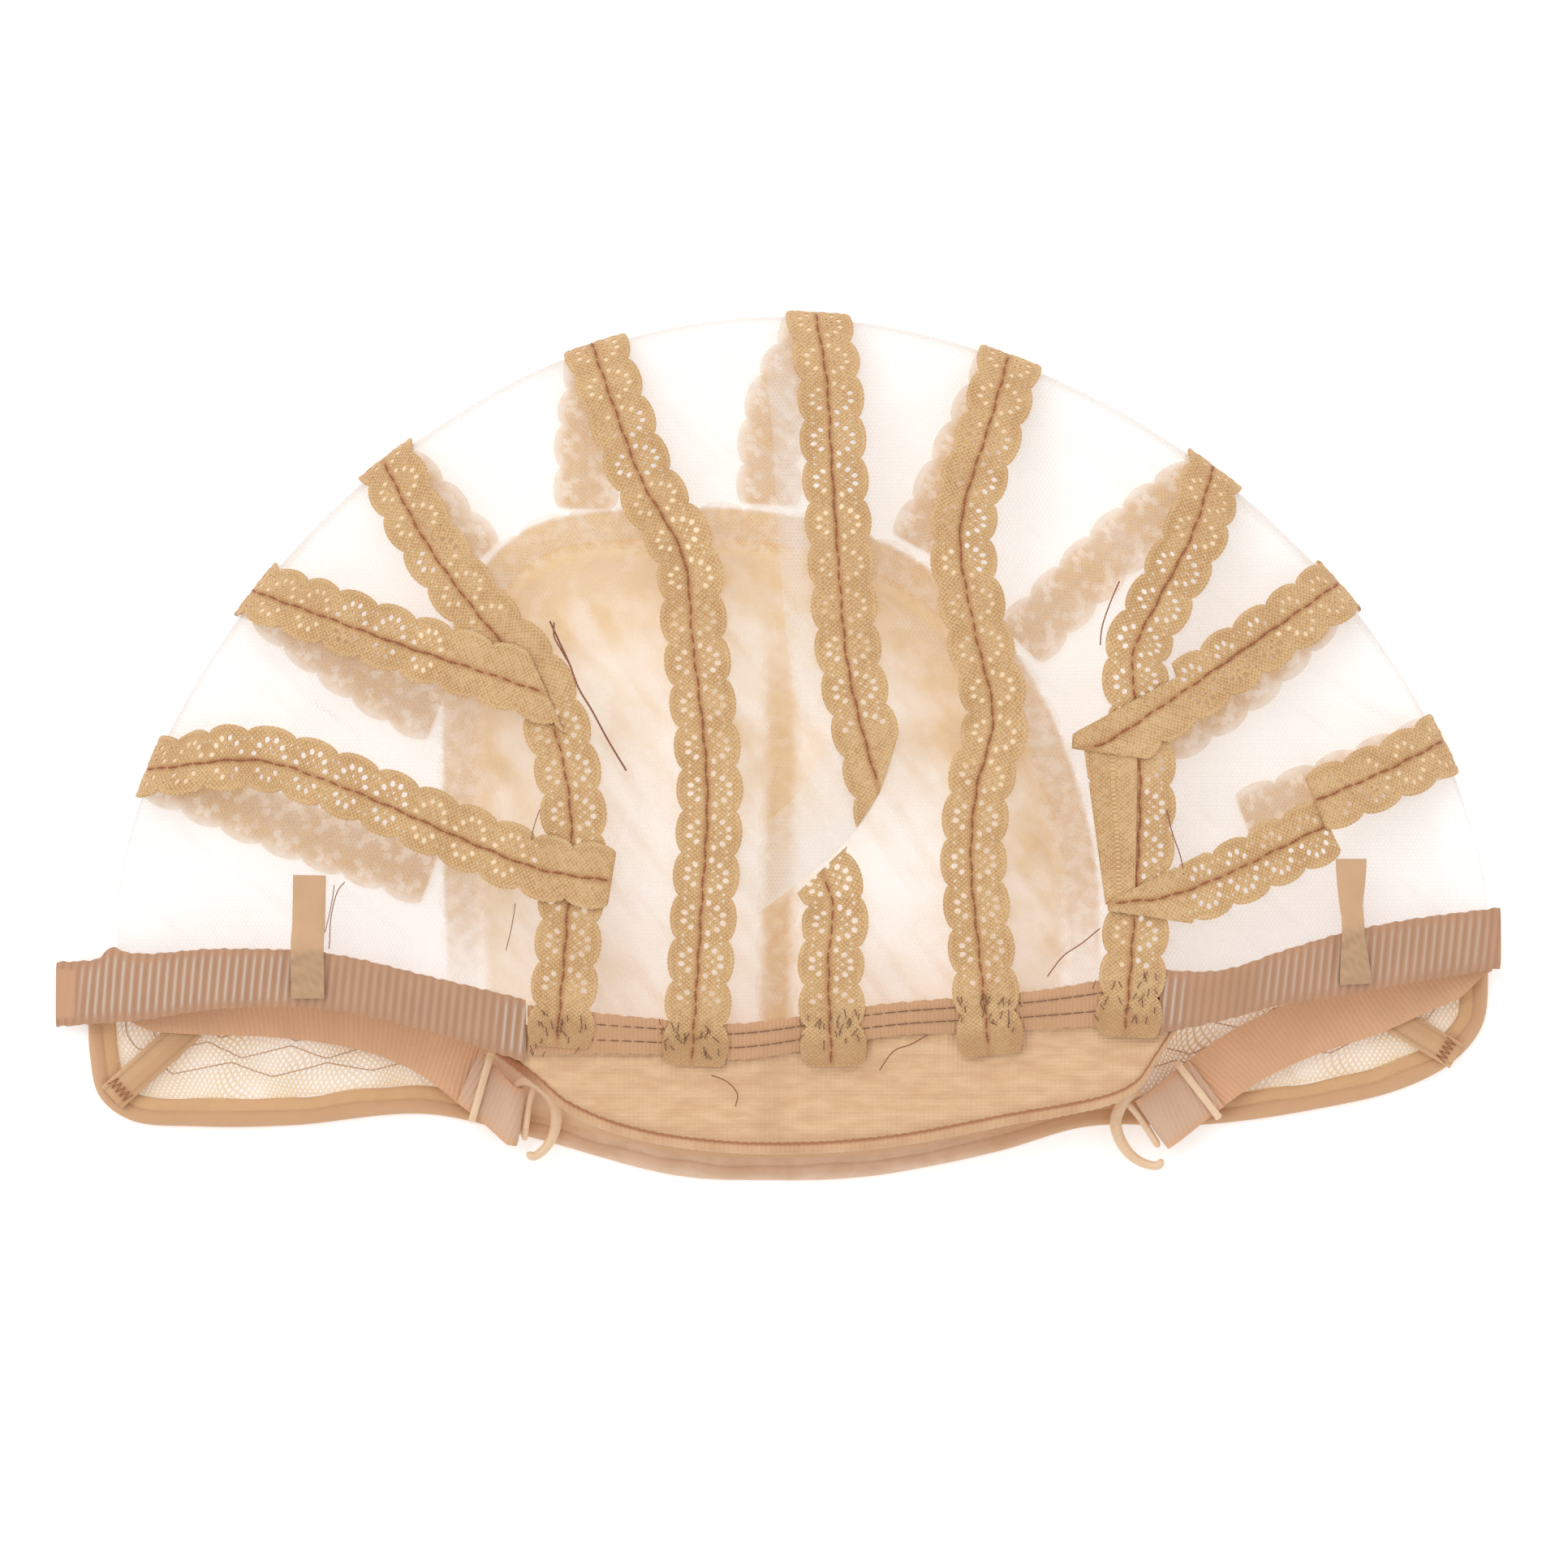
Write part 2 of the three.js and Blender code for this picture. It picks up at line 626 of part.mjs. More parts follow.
// Strap on the lower layer that turns back over the hook's bar and lies on itself
function strap(row) {
  const curve = planCurve(row.path);
  const middle = STRAP.bottom + WALL / 2;
  const line = stations(curve, STRAP.stations).map(({ plan, direction }, i) => ({
    point: plan.setZ(middle),
    across: acrossStrap(curve, row, i / STRAP.stations),
    forward: direction,
  }));
  const { point: end, across: fold } = line.at(-1);
  const ahead = new THREE.Vector3(fold.y, -fold.x, 0);
  for (let step = 1; step <= TURN.steps; step += 1) {
    const angle = (Math.PI * step) / TURN.steps;
    const point = end.clone().addScaledVector(ahead, TURN.radius * Math.sin(angle));
    point.z = middle + TURN.radius * (1 - Math.cos(angle));
    const forward = ahead.clone().multiplyScalar(Math.cos(angle)).setZ(Math.sin(angle));
    line.push({ point, across: fold, forward });
  }
  for (let step = 1; step <= TURN.backSteps; step += 1) {
    const distance = (TURN.back * step) / TURN.backSteps;
    const sink = THREE.MathUtils.smoothstep(distance, 0, TURN.backDrop);
    const share = 1 - distance / curve.getLength();
    const height = THREE.MathUtils.lerp(middle + 2 * TURN.radius, middle + RIDE, sink);
    const point = curve.getPointAt(share).setZ(height);
    line.push({ point, across: acrossStrap(curve, row, share), forward: curve.getTangentAt(share).negate() });
  }
  return slab(line.length - 1, 1, (i, j, side) => {
    const { point, across, forward } = line[i];
    const face = across.clone().cross(forward).normalize();
    const place = point.clone().addScaledVector(across, (j - 0.5) * STRAP.width);
    return place.addScaledVector(face, (side - 0.5) * WALL);
  });
}

// Turns a piece built across, up and along so that it sits on a strap
function seatOnStrap(mesh, place, across) {
  const up = new THREE.Vector3(0, 0, 1);
  const heading = across.clone().cross(up);
  mesh.quaternion.setFromRotationMatrix(new THREE.Matrix4().makeBasis(across, up, heading));
  mesh.position.copy(place);
}

// Rectangular slider round both runs of the strap
function slider() {
  const inner = {
    half: STRAP.width / 2 + SLIDER.slack,
    low: STRAP.bottom - GAP,
    high: STRAP.bottom + 2 * WALL + 2 * GAP,
  };
  const outer = {
    half: inner.half + SLIDER.side,
    low: inner.low - SLIDER.wall,
    high: inner.high + SLIDER.wall,
  };
  const frame = ({ half, low, high }) => [
    new THREE.Vector2(-half, low),
    new THREE.Vector2(half, low),
    new THREE.Vector2(half, high),
    new THREE.Vector2(-half, high),
  ];
  const shape = new THREE.Shape(frame(outer));
  shape.holes.push(new THREE.Path(frame(inner)));
  const geometry = new THREE.ExtrudeGeometry(shape, { depth: SLIDER.length, bevelEnabled: false });
  return geometry.translate(0, 0, -SLIDER.length / 2);
}

// Open hook: a bar in the strap's fold, a bow outwards and a curled tip
function hook(hookSide) {
  const points = HOOK_LINE.map(({ across, out }) => {
    return new THREE.Vector3(hookSide * across, -out * Math.sin(HOOK.tilt), out * Math.cos(HOOK.tilt));
  });
  const section = new THREE.Shape(
    Array.from({ length: HOOK.sides }, (_, i) => {
      const angle = (2 * Math.PI * i) / HOOK.sides;
      return new THREE.Vector2(HOOK.radius * Math.cos(angle), HOOK.radius * Math.sin(angle));
    }),
  );
  const path = new THREE.CatmullRomCurve3(points, false, "centripetal");
  return new THREE.ExtrudeGeometry(section, { steps: HOOK.steps, extrudePath: path, bevelEnabled: false });
}

// Lower layer
addPiece("crown_net", "net", crownNet());
const hemLeft = hemShareAt(ARCH[0].x);
const hemRight = hemShareAt(ARCH.at(-1).x);
const hemGap = 0.0016;
const arch = rowCurve(ARCH);
const seamGap = new THREE.Vector3(0, -SHEET_GAP, 0);
addPiece(
  "front_lace",
  "panel",
  lowerSheet({
    columns: NET_COLUMNS * (1 - 2 * EAR_SHARE),
    across: DIVIDE.frontRows,
    hemFrom: hemLeft,
    hemTo: hemRight,
    seam: (share) => {
      const inwards = leftOf(arch.getTangentAt(share)).negate();
      return arch.getPointAt(share).addScaledVector(inwards, SHEET_GAP);
    },
  }),
);
const earNetStart = 0.012;
addPiece(
  "ear_net_left",
  "net",
  lowerSheet({
    columns: DIVIDE.ear.columns,
    across: DIVIDE.ear.rows,
    hemFrom: earNetStart,
    hemTo: hemLeft - hemGap,
    seam: (share) => netSeam(EAR_SHARE * share).add(seamGap),
  }),
);
addPiece(
  "ear_net_right",
  "net",
  lowerSheet({
    columns: DIVIDE.ear.columns,
    across: DIVIDE.ear.rows,
    hemFrom: hemRight + hemGap,
    hemTo: 1 - earNetStart,
    seam: (share) => netSeam(1 - EAR_SHARE * (1 - EAR_END * share)).add(seamGap),
  }),
);
addPiece("hem_tape", "tape", flatBand(rowCurve(HEM_EDGE), HEM.stations, 0, HEM.top, () => [0, HEM.width]));
addPiece(
  "lace_arch",
  "lace",
  flatBand(arch, Math.round((arch.getLength() / LACE.scallop) * LACE.stations), 0, WALL, laceEdges),
);
const frontHalf = FRONT_STRIP.halfWidth;
addPiece(
  "lace_front_strip",
  "lace",
  flatBand(planCurve(FRONT_STRIP.path), DIVIDE.frontStrip, 0, WALL, () => [-frontHalf, frontHalf]),
);
for (const { name, width, from, to } of STAYS) {
  const bottom = HEM.top + GAP;
  const edges = () => [-width / 2, width / 2];
  addPiece(name, "tape", flatBand(planCurve([from, to]), DIVIDE.stay, bottom, bottom + WALL, edges));
}

// Lace strips over both layers
STRIPS.forEach((row, i) => addPiece(`lace_strip_${i + 1}`, "lace", laceStrip(row)));
addPiece(
  "lace_strip_5_tail",
  "lace",
  upperStrip({ ...STRIP_TAIL, ramp: LACE_RAMP, count: DIVIDE.tail, halfWidths: laceEdges }),
);

// Upper edge
addPiece("ear_band_left", "ribbon", edgeBand(EAR_BAND_LEFT, DIVIDE.earBandLeft));
addPiece("nape_band", "ribbon", edgeBand(NAPE_BAND, DIVIDE.napeBand));
addPiece("ear_band_right", "ribbon", edgeBand(EAR_BAND_RIGHT, DIVIDE.earBandRight));
addPiece("nape_panel", "stretch", napePanel(DIVIDE.napePanel.columns, DIVIDE.napePanel.rows));
addPiece("nape_binding", "stretch", napeBinding(DIVIDE.binding));
for (const { name, width, waist, raised, path } of TABS) {
  const halfWidths = (distance, length) => {
    const pinch = 1 - (1 - waist) * Math.sin((Math.PI * distance) / length) ** 2;
    return [-(width / 2) * pinch, (width / 2) * pinch];
  };
  addPiece(name, "ribbon", upperStrip({ path, raised, ramp: TAB_RAMP, count: DIVIDE.tab, halfWidths }));
}

// Straps with their sliders and hooks
for (const row of STRAPS) {
  const curve = planCurve(row.path);
  addPiece(`strap_${row.side}`, "ribbon", strap(row));
  const share = 1 - row.slider / curve.getLength();
  const slide = addPiece(`slider_${row.side}`, "plastic", slider());
  seatOnStrap(slide, curve.getPointAt(share), acrossStrap(curve, row, share));
  const fold = curve.getPointAt(1).setZ(STRAP.bottom + WALL / 2 + TURN.radius);
  const hanger = addPiece(`hook_${row.side}`, "plastic", hook(row.hookSide));
  seatOnStrap(hanger, fold, acrossStrap(curve, row, 1));
}

export default cap;
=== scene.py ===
"""Looks of a lace wig cap that lies flat as a hollow pouch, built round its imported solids.

Sizes are in millimetres in the part's own frame, and make_piece() scales them to metres.
+Y points to the crown and +Z up. Every piece carries "run", which its material reads:
length along the piece, place across it, and a third value such as relief or density.
"""

import json
import math
from collections import namedtuple

import bmesh
import bpy
import numpy as np
from mathutils.geometry import delaunay_2d_cdt
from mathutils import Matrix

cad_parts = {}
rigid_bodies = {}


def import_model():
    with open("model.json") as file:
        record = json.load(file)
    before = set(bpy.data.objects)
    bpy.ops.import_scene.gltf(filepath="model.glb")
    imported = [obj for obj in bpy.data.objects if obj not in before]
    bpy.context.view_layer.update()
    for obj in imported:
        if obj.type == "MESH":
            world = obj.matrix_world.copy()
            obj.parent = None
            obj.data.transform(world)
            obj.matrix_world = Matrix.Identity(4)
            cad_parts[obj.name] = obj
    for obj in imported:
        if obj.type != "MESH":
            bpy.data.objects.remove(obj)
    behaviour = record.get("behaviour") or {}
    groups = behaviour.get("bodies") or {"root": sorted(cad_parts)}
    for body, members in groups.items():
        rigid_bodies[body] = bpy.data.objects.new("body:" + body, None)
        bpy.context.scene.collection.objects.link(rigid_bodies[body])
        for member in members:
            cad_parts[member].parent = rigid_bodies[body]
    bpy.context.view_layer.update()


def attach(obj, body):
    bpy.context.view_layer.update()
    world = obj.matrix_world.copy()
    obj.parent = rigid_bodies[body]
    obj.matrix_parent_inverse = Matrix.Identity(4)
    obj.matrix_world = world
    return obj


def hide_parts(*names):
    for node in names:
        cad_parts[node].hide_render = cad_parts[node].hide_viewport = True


def srgb(red, green, blue):
    """Linear colour of a display colour given in 8-bit steps."""
    shares = np.array([red, green, blue]) / 255
    linear = np.where(shares <= 0.04045, shares / 12.92, ((shares + 0.055) / 1.055) ** 2.4)
    return (*linear.tolist(), 1.0)


MM = 0.001
SHARP_ANGLE = math.radians(50)

# Cloth stack of the solids: wall, clearance and the lifts that follow from them
WALL = 1.0
GAP = 0.3
RIDE = WALL + GAP
STACK = WALL / 2 + GAP
# Soft edges of bands: the share by which they are thinner, and the power that keeps it to the edges
EDGE_SOFT, EDGE_POWER = 0.35, 6

# Flattened dome: base line, half width, height, powers of its round edge and lean of its top
DOME_X, DOME_Y = 4.8, -31.6
DOME_HALF_WIDTH, DOME_HEIGHT = 132.0, 114.0
SIDE_POWER, TOP_POWER, DOME_LEAN = 1.93, 1.6, 4.0

# Heights of the lower net, the crown fold and the lofted upper net
NET_LOW = WALL + GAP + WALL / 2
FOLD_Z, FOLD_SPAN, CROWN_RISE = 4.2, 0.025, 16.5
LOFT_POWER, LOFT_ROUND = 3, 0.55
DROOP_START, DROOP_END, DROOP_SHARE = 36.0, 80.0, 0.42
NEARLY_EDGE = 0.9998
NET_END_INSET = 0.016
NET_UNDER_BAND = 3.0
NET_LIFT, NET_FOLD_LIFT = 0.15, 0.45
# Denser net near the crown fold and at the mouth, over shares of the way from the mouth to the fold
FOLD_DENSE, FOLD_DENSE_SPAN = 0.55, (0.975, 0.995)
EDGE_DENSE, EDGE_DENSE_TO = 0.1, 0.02

# Edge ribbons: places along X with the ribbon's top and bottom edges
Band = namedtuple("Band", "x top bottom")
EAR_BAND_LEFT = [
    Band(-138.4, -42.0, -54.5),
    Band(-130.0, -41.2, -53.8),
    Band(-127.6, -39.0, -53.6),
    Band(-125.0, -39.9, -53.4),
    Band(-120.0, -40.2, -52.8),
    Band(-107.0, -39.2, -50.8),
    Band(-86.0, -40.0, -50.8),
    Band(-66.0, -44.5, -55.2),
    Band(-48.2, -48.8, -61.0),
]
NAPE_BAND = [
    Band(-47.6, -50.0, -59.4),
    Band(-22.0, -52.6, -59.4),
    Band(-7.0, -53.4, -60.4),
    Band(21.0, -49.6, -56.0),
    Band(49.0, -47.2, -54.6),
    Band(72.6, -43.0, -53.6),
]
EAR_BAND_RIGHT = [
    Band(73.2, -43.2, -55.4),
    Band(85.0, -43.2, -53.0),
    Band(97.0, -39.4, -49.8),
    Band(108.0, -36.2, -48.2),
    Band(121.0, -33.6, -45.8),
    Band(138.4, -31.4, -43.2),
]
BAND_SHOULDER, BAND_TIP_SLOPE = 0.985, 0.42
# Ribs of the ribbons: pitch, and lean of the ear bands' ribs from the lower edge to the upper
EAR_PITCH, EAR_LEAN, NAPE_PITCH = 1.66, 1.2, 0.8
# Lift and thickness of the ribbons, wave of their edges, height of plain and of pale ribs, lift of thread
BAND_BASE, BAND_THICK, BAND_FRAY, BAND_RIB, BAND_PALE_RIB = STACK + 0.1, 0.65, 0.15, 0.07, 0.15
BAND_TOP = BAND_BASE + BAND_THICK + 0.2
# Pale ribs of the ear bands along X, and the smooth end of the left one
Pale = namedtuple("Pale", "start end strength")
LEFT_PALE = [Pale(-133.4, -93, 1.0), Pale(-53.5, -46, 1.0), Pale(-93, -54, 0.25)]
RIGHT_PALE = [Pale(71, 78, 1.0), Pale(92, 136, 0.55)]
LEFT_SMOOTH_TO, NO_SMOOTH = -134.6, -200.0

# Nape panel's free lower edge
NapeRow = namedtuple("NapeRow", "x bottom")
NAPE_EDGE = [
    NapeRow(-54.0, -59.6),
    NapeRow(-46.6, -65.2),
    NapeRow(-40.0, -70.8),
    NapeRow(-28.0, -75.6),
    NapeRow(-12.0, -78.2),
    NapeRow(6.0, -78.6),
    NapeRow(24.0, -77.0),
    NapeRow(44.0, -73.2),
    NapeRow(62.0, -69.8),
    NapeRow(69.0, -66.6),
    NapeRow(72.6, -61.4),
    NapeRow(76.4, -55.4),
]
# Nape panel: lifts of its faces, gathers under its band, shade along its edges and over the front strip,
# and how far it goes into its binding and stays below the net's edge
NAPE_TOP, NAPE_BOTTOM, NAPE_FOLD_HEIGHT, NAPE_FOLD_PITCH = 0.3, -0.2, 0.28, 2.6
LOW_SHADE, HIGH_SHADE, STRIPE_SHADE = 0.4, 0.35, 0.22
NAPE_IN_BINDING, NAPE_BELOW_NET = 0.3, 0.7
# Binding: section, depth and pitch of its dents, and where on the left it turns dark
BINDING_WIDTH, BINDING_THICK, BINDING_SIDES = 2.4, 1.6, 14
BINDING_DENT, BINDING_PITCH, BINDING_DARK = 0.06, 1.6, (41.0, 50.0)
# Hem: outer edge, width, thickness, pitch of its puckers, shade along its inner edge, and its top
HEM_EDGE = [
    (-133.2, -47.0), (-132.9, -60.0), (-131.0, -68.0), (-125.0, -72.6), (-112.0, -73.8),
    (-94.0, -73.6), (-68.0, -71.4), (-48.0, -75.8), (-20.0, -83.2), (-1.0, -84.2),
    (18.0, -83.4), (42.0, -78.8), (60.0, -73.8), (82.0, -73.5), (104.0, -70.5),
    (121.0, -66.4), (131.0, -61.0), (136.4, -54.0), (137.6, -41.5),
]
HEM_WIDTH, HEM_THICK, HEM_PUCKER_PITCH, HEM_EDGE_SHADE = 5.4, 1.5, 2.8, 0.25
HEM_TOP = NET_LOW + WALL / 2

# Lower layer: seam between the crown net and the front panel, and the ends of the ear seams
ARCH = [
    (-58.0, -50.0), (-59.0, -10.0), (-57.0, 22.0), (-46.0, 36.5), (-22.0, 40.0), (0.0, 39.0),
    (21.0, 32.6), (40.0, 16.6), (50.2, -2.0), (56.0, -24.0), (57.0, -48.0),
]
SEAM_LEFT, SEAM_RIGHT = (-125.6, -43.2), (134.7, -36.2)
EAR_SHARE = 0.25

# Doubled net: the fold line and width of a pleat along the middle strip, and of the tuck that swallows
# the strip; the first two spans of the tuck's line cut the strip
PLEAT_LINE = [(3.4, 80.0), (5.4, 62.0), (6.6, 40.0), (8.4, 20.0), (11.0, 4.0)]
TUCK_LINE = [(23.5, 2.7), (19.6, -9.3), (14.1, -17.6), (6.6, -24.6), (-4.0, -32.5)]
PLEAT_WIDTH, TUCK_WIDTH = 6.5, 13.0
TUCK_CUTS = list(zip(TUCK_LINE[:2], TUCK_LINE[1:3]))

# Lace strips: plan points from the crown fold to the mouth, and from the fold over the lower layer;
# raised is the length at the mouth end that lies on another strip or on a ribbon; cuts are lines
# that trim off what lies to their left; plain is the length at the mouth end without open eyelets,
# and crossed the span past the crown fold that another strip crosses
Strip = namedtuple("Strip", "raised upper lower cuts plain crossed", defaults=[(), 0.0, None])
STRIPS = [
    Strip(
        20,
        [(-121.9, -4.6), (-99.6, -3.2), (-84, -7.9), (-56, -19.9), (-44.9, -24), (-31.6, -26.2)],
        [(-100, -14), (-67, -26)],
    ),
    Strip(
        34,
        [(-101, 29.6), (-89.3, 25.2), (-69, 17.9), (-50, 11.6), (-39, 7.6), (-33.5, 5.6)],
        [(-85, 16.5), (-71.5, 8), (-65.6, 5.6)],
        [((-47.6, 17.8), (-41.2, 3.6))],
        plain=32,
    ),
    Strip(
        10.5,
        [
            (-77, 56), (-67.3, 38.7), (-55.9, 23.2), (-46.8, 13),
            (-42, 1), (-39.4, -14), (-40.2, -34), (-42.2, -58),
        ],
        [(-69, 47.5), (-58, 35.2)],
        crossed=(41, 61),
    ),
    Strip(
        12,
        [
            (-35.9, 77.7), (-30.7, 63), (-25.9, 50.4), (-18, 35.8),
            (-16.2, 20), (-13.4, -8), (-14.6, -33), (-16.4, -61.5),
        ],
        [(-37.2, 60), (-37.5, 45.4)],
    ),
    Strip(
        0,
        [(7.3, 82.4), (9.4, 70), (10.4, 54), (11.8, 33), (13.4, 15.5), (16, 3.5), (19.2, -8), (21.4, -17)],
        [(-1, 64), (-2.2, 46.2)],
        TUCK_CUTS,
        plain=21,
    ),
    Strip(
        14,
        [
            (44.6, 75), (40.7, 61.5), (35.6, 45), (35, 37), (37.9, 21),
            (41.2, 5), (38, -9), (37, -22), (38.7, -41), (40.6, -59.6),
        ],
        [(36.5, 58), (29.4, 43.6), (26.6, 38.2)],
    ),
    Strip(
        13.4,
        [
            (85.5, 55.4), (79.6, 40.5), (72.6, 27), (68, 17),
            (69, 4), (69.3, -12), (68.4, -30), (66.4, -56),
        ],
        [(68, 41), (46.4, 19.8)],
    ),
    Strip(
        33,
        [(108, 31), (90.2, 18.7), (72.6, 6.6), (62, 0), (56, -1.5)],
        [(89, 12), (67.5, -2.2)],
        [((75, -3.4), (54.6, -0.6)), ((55, 1.2), (66, 7.2)), ((56.2, -3), (56.6, 4))],
    ),
    Strip(6, [(129, 1), (116, -5.4), (102.6, -11)], [(108, -7.5), (90, -14.5)]),
]
# Strip 9 past the small tuck in it
STRIP_9_END = Strip(
    19,
    [(105.4, -15.4), (94.3, -20.8), (87, -24.4), (74.1, -29.2), (63, -30.4)],
    None,
    [((61.5, -31), (90, -16.4)), ((75.4, -33.7), (61.5, -31.6))],
)
STRIP_TAIL = Strip(
    12.5,
    [(4.6, -15.5), (8.2, -23.4), (10.6, -31), (9.8, -41), (10.4, -61.6)],
    None,
    [((6.2, -26.2), (13.7, -19.1))],
)
CUT_SPAN = 26.0
# Lace doubled beside strip 7, its share of the usual width and its lift
DOUBLED = Strip(
    0,
    [(64, 1), (64.2, -8), (65, -20), (65.4, -30.5)],
    None,
    [((62.8, -31), (58.7, -1)), ((69, 2), (68.4, -31))],
)
DOUBLED_WIDTH, DOUBLED_LIFT = 0.95, 0.3
FRONT_STRIP, FRONT_STRIP_HALF = [(-0.6, 31), (0.4, 2), (-0.2, -30), (-1, -76)], 4.0
LACE_RAMP = 4.5
# Reach over which a strip's width turns along the crown fold
SQUARE_SPAN = (0.88, 0.99)

# Front panel: how far it goes under the hem, its lift, and how it is denser by the hem, in crumples and
# by the arch, with an open line along the arch
PANEL_TUCK, PANEL_LIFT = 1.0, 0.1
HEM_CLOUD, HEM_DENSE, CRUMPLE_DENSE = 12.0, 1.6, 0.3
ARCH_CLOUD, ARCH_DENSE, ARCH_OPEN, ARCH_CLEAR = 17.0, 0.8, 3.6, 0.9
# Clouds of the front panel: middle, half width and half height, and how much denser or thinner it is
Cloud = namedtuple("Cloud", "x y wide high amount")
CLOUDS = [
    Cloud(-28.0, 30.0, 30.0, 9.0, 0.3),
    Cloud(33.0, 22.0, 12.0, 15.0, 0.5),
    Cloud(32.0, 0.6, 13.0, 4.0, 0.75),
    Cloud(-54.0, -10.0, 9.0, 26.0, 0.25),
    Cloud(51.0, -17.0, 9.0, 18.0, 0.5),
    Cloud(-2.0, 2.0, 9.0, 12.0, 0.4),
    Cloud(24.0, -24.0, 15.0, 14.0, -0.5),
    Cloud(-25.0, -28.0, 10.0, 18.0, -0.3),
    Cloud(24.0, 14.0, 8.0, 7.0, -0.2),
    Cloud(-50.0, -64.0, 9.0, 9.0, 1.6),
    Cloud(57.0, -64.0, 9.0, 9.0, 1.2),
]

# Lace trim: widths from its stitch line to its edges, one repeat, its scallop and thickness
LACE_NARROW, LACE_WIDE = 5.2, 6.2
LACE_REPEAT, SCALLOP_DEPTH, SCALLOP_ROUND = 8.2, 0.7, 0.6
LACE_STEPS, LACE_SIDE_STEPS = 16, 12
LACE_BASE, FLAT_LACE_BASE, LACE_THICK = STACK + 0.1, 0.1, 0.45
RIM_DEPTHS = (0.3, 0.6, 1.0)
RIM_HEIGHT, RIM_PLACE, RIM_SPREAD = 0.16, 0.5, 0.35
EYELET_RIM, EYELET_SPREAD, EYELET_STRETCH = 0.14, 0.32, 1.25
# Middle of the flower across the lace, radius that parts eyelets from pinholes, room round an eyelet
# without points, and how close to an eyelet's edge a point lies on it
FLOWER_MIDDLE, PINHOLE, EYELET_CLEAR, ON_EDGE = 0.5, 0.4, 0.25, 0.03
GRID_PITCH = 0.8
# Lace of the lower layer fades, and is painted lighter, between two heights: soft lengths at its end and at
# its two edges, how dense it looks in its middle and at its edges, and how much denser towards the crown
HAZE_LOW, HAZE_HIGH = 2.4, 4.0
Haze = namedtuple("Haze", "end inner outer middle rim crown")
STRIP_HAZE = Haze(0.8, 3.2, 3.2, 0.78, 0.24, 1.0)
ARCH_HAZE = Haze(28.0, 6.0, 1.4, 0.64, 0.08, 1.4)
FRONT_HAZE = Haze(36.0, 4.0, 4.0, 0.66, 0.1, 1.0)
HAZE_CROWN_FROM, HAZE_CROWN_TO = 8.0, 36.0
# The mouth end of a strip: length sewn on the nape band and elsewhere, the share that is fully marked,
# its mark, and how closely the strip is pressed down
SEWN_LENGTH, UNSEWN, SEWN_FULL, SEWN_MARK, PRESSED = 8.0, 0.01, 0.4, 1.0, 0.62
# Closed eyelets: share of the raised length. Cream discs paint the light that shows through the eyelets
# past
# the crown fold and over the arch: how far they go from each, their height in the lace, their mark in the
# run's third value and the span that reads the mark
COVERED = 0.75
EYELET_LIGHT_PAST_FOLD, EYELET_LIGHT_BY_ARCH = 19.0, 11.0
EYELET_LIGHT_HEIGHT, EYELET_LIGHT_MARK, EYELET_LIGHT_SPAN = 0.32, 0.5, (0.25, 0.45)
# Place of the crown fold on lace that doesn't cross it, before all of its length
NO_FOLD = -100.0
# Eyelets of one repeat: a ring round the flower, and pinholes in its middle and at the notches
Eyelet = namedtuple("Eyelet", "along across radius")
EYELETS = [
    Eyelet(-2.95, 1.35, 0.47),
    Eyelet(-2.05, 3.0, 0.5),
    Eyelet(-0.78, 4.2, 0.5),
    Eyelet(0.8, 4.3, 0.5),
    Eyelet(2.05, 3.2, 0.5),
    Eyelet(2.85, 1.55, 0.47),
    Eyelet(-1.95, -1.75, 0.47),
    Eyelet(-0.9, -3.1, 0.5),
    Eyelet(0.75, -3.2, 0.5),
    Eyelet(1.85, -1.8, 0.47),
    Eyelet(-0.85, 1.8, 0.22),
    Eyelet(0.0, 2.7, 0.25),
    Eyelet(0.85, 1.8, 0.22),
    Eyelet(0.0, -1.5, 0.22),
    Eyelet(-3.5, 4.1, 0.22),
    Eyelet(3.5, 4.1, 0.22),
    Eyelet(-3.45, -3.2, 0.22),
    Eyelet(3.45, -3.2, 0.22),
]

# Straps, sliders and hooks
STRAP_WIDTH, STRAP_BOTTOM, STRAP_TURN = 11.2, 3.9, 1.6
STRAP_BACK, STRAP_BACK_DROP = 11.5, 5.6
STRAP_THICK, STRAP_RIB, STRAP_LEAN, STRAP_PITCH = 0.8, 0.04, 2.5, 1.0
STRAP_GATHER, STRAP_GATHERED, STRAP_SOFT, STRAP_PALE = 0.55, 9.0, 0.15, 0.75
# slider is its slider's distance from the fold, fold the plan direction across the folded end, and lean
# the length over which the strap turns to it
Strap = namedtuple("Strap", "side hook_side slider fold lean path")
STRAPS = [
    Strap(
        "left",
        1,
        8.0,
        (0.147, 0.989),
        22.0,
        [
            (-128, -49.4), (-111, -50.4), (-97, -50.9), (-83, -52.7),
            (-72, -55.9), (-63.7, -60.5), (-51.2, -71.6),
        ],
    ),
    Strap(
        "right",
        -1,
        9.3,
        (0.57, -0.822),
        9.0,
        [(136.8, -40.8), (123, -46.6), (114.5, -50.4), (102, -54.6), (90.2, -60.2), (73.7, -72.3)],
    ),
]
SLIDER_LENGTH, SLIDER_WALL, SLIDER_SIDE, SLIDER_SLACK = 1.4, 0.9, 0.8, 0.5
SLIDER_INNER_CORNER, SLIDER_CORNER, SLIDER_CHAMFER = 0.35, 1.1, 0.22
HOOK_BAR, HOOK_BOW, HOOK_TIP, HOOK_TILT = 0.8, 1.15, 0.85, 0.22
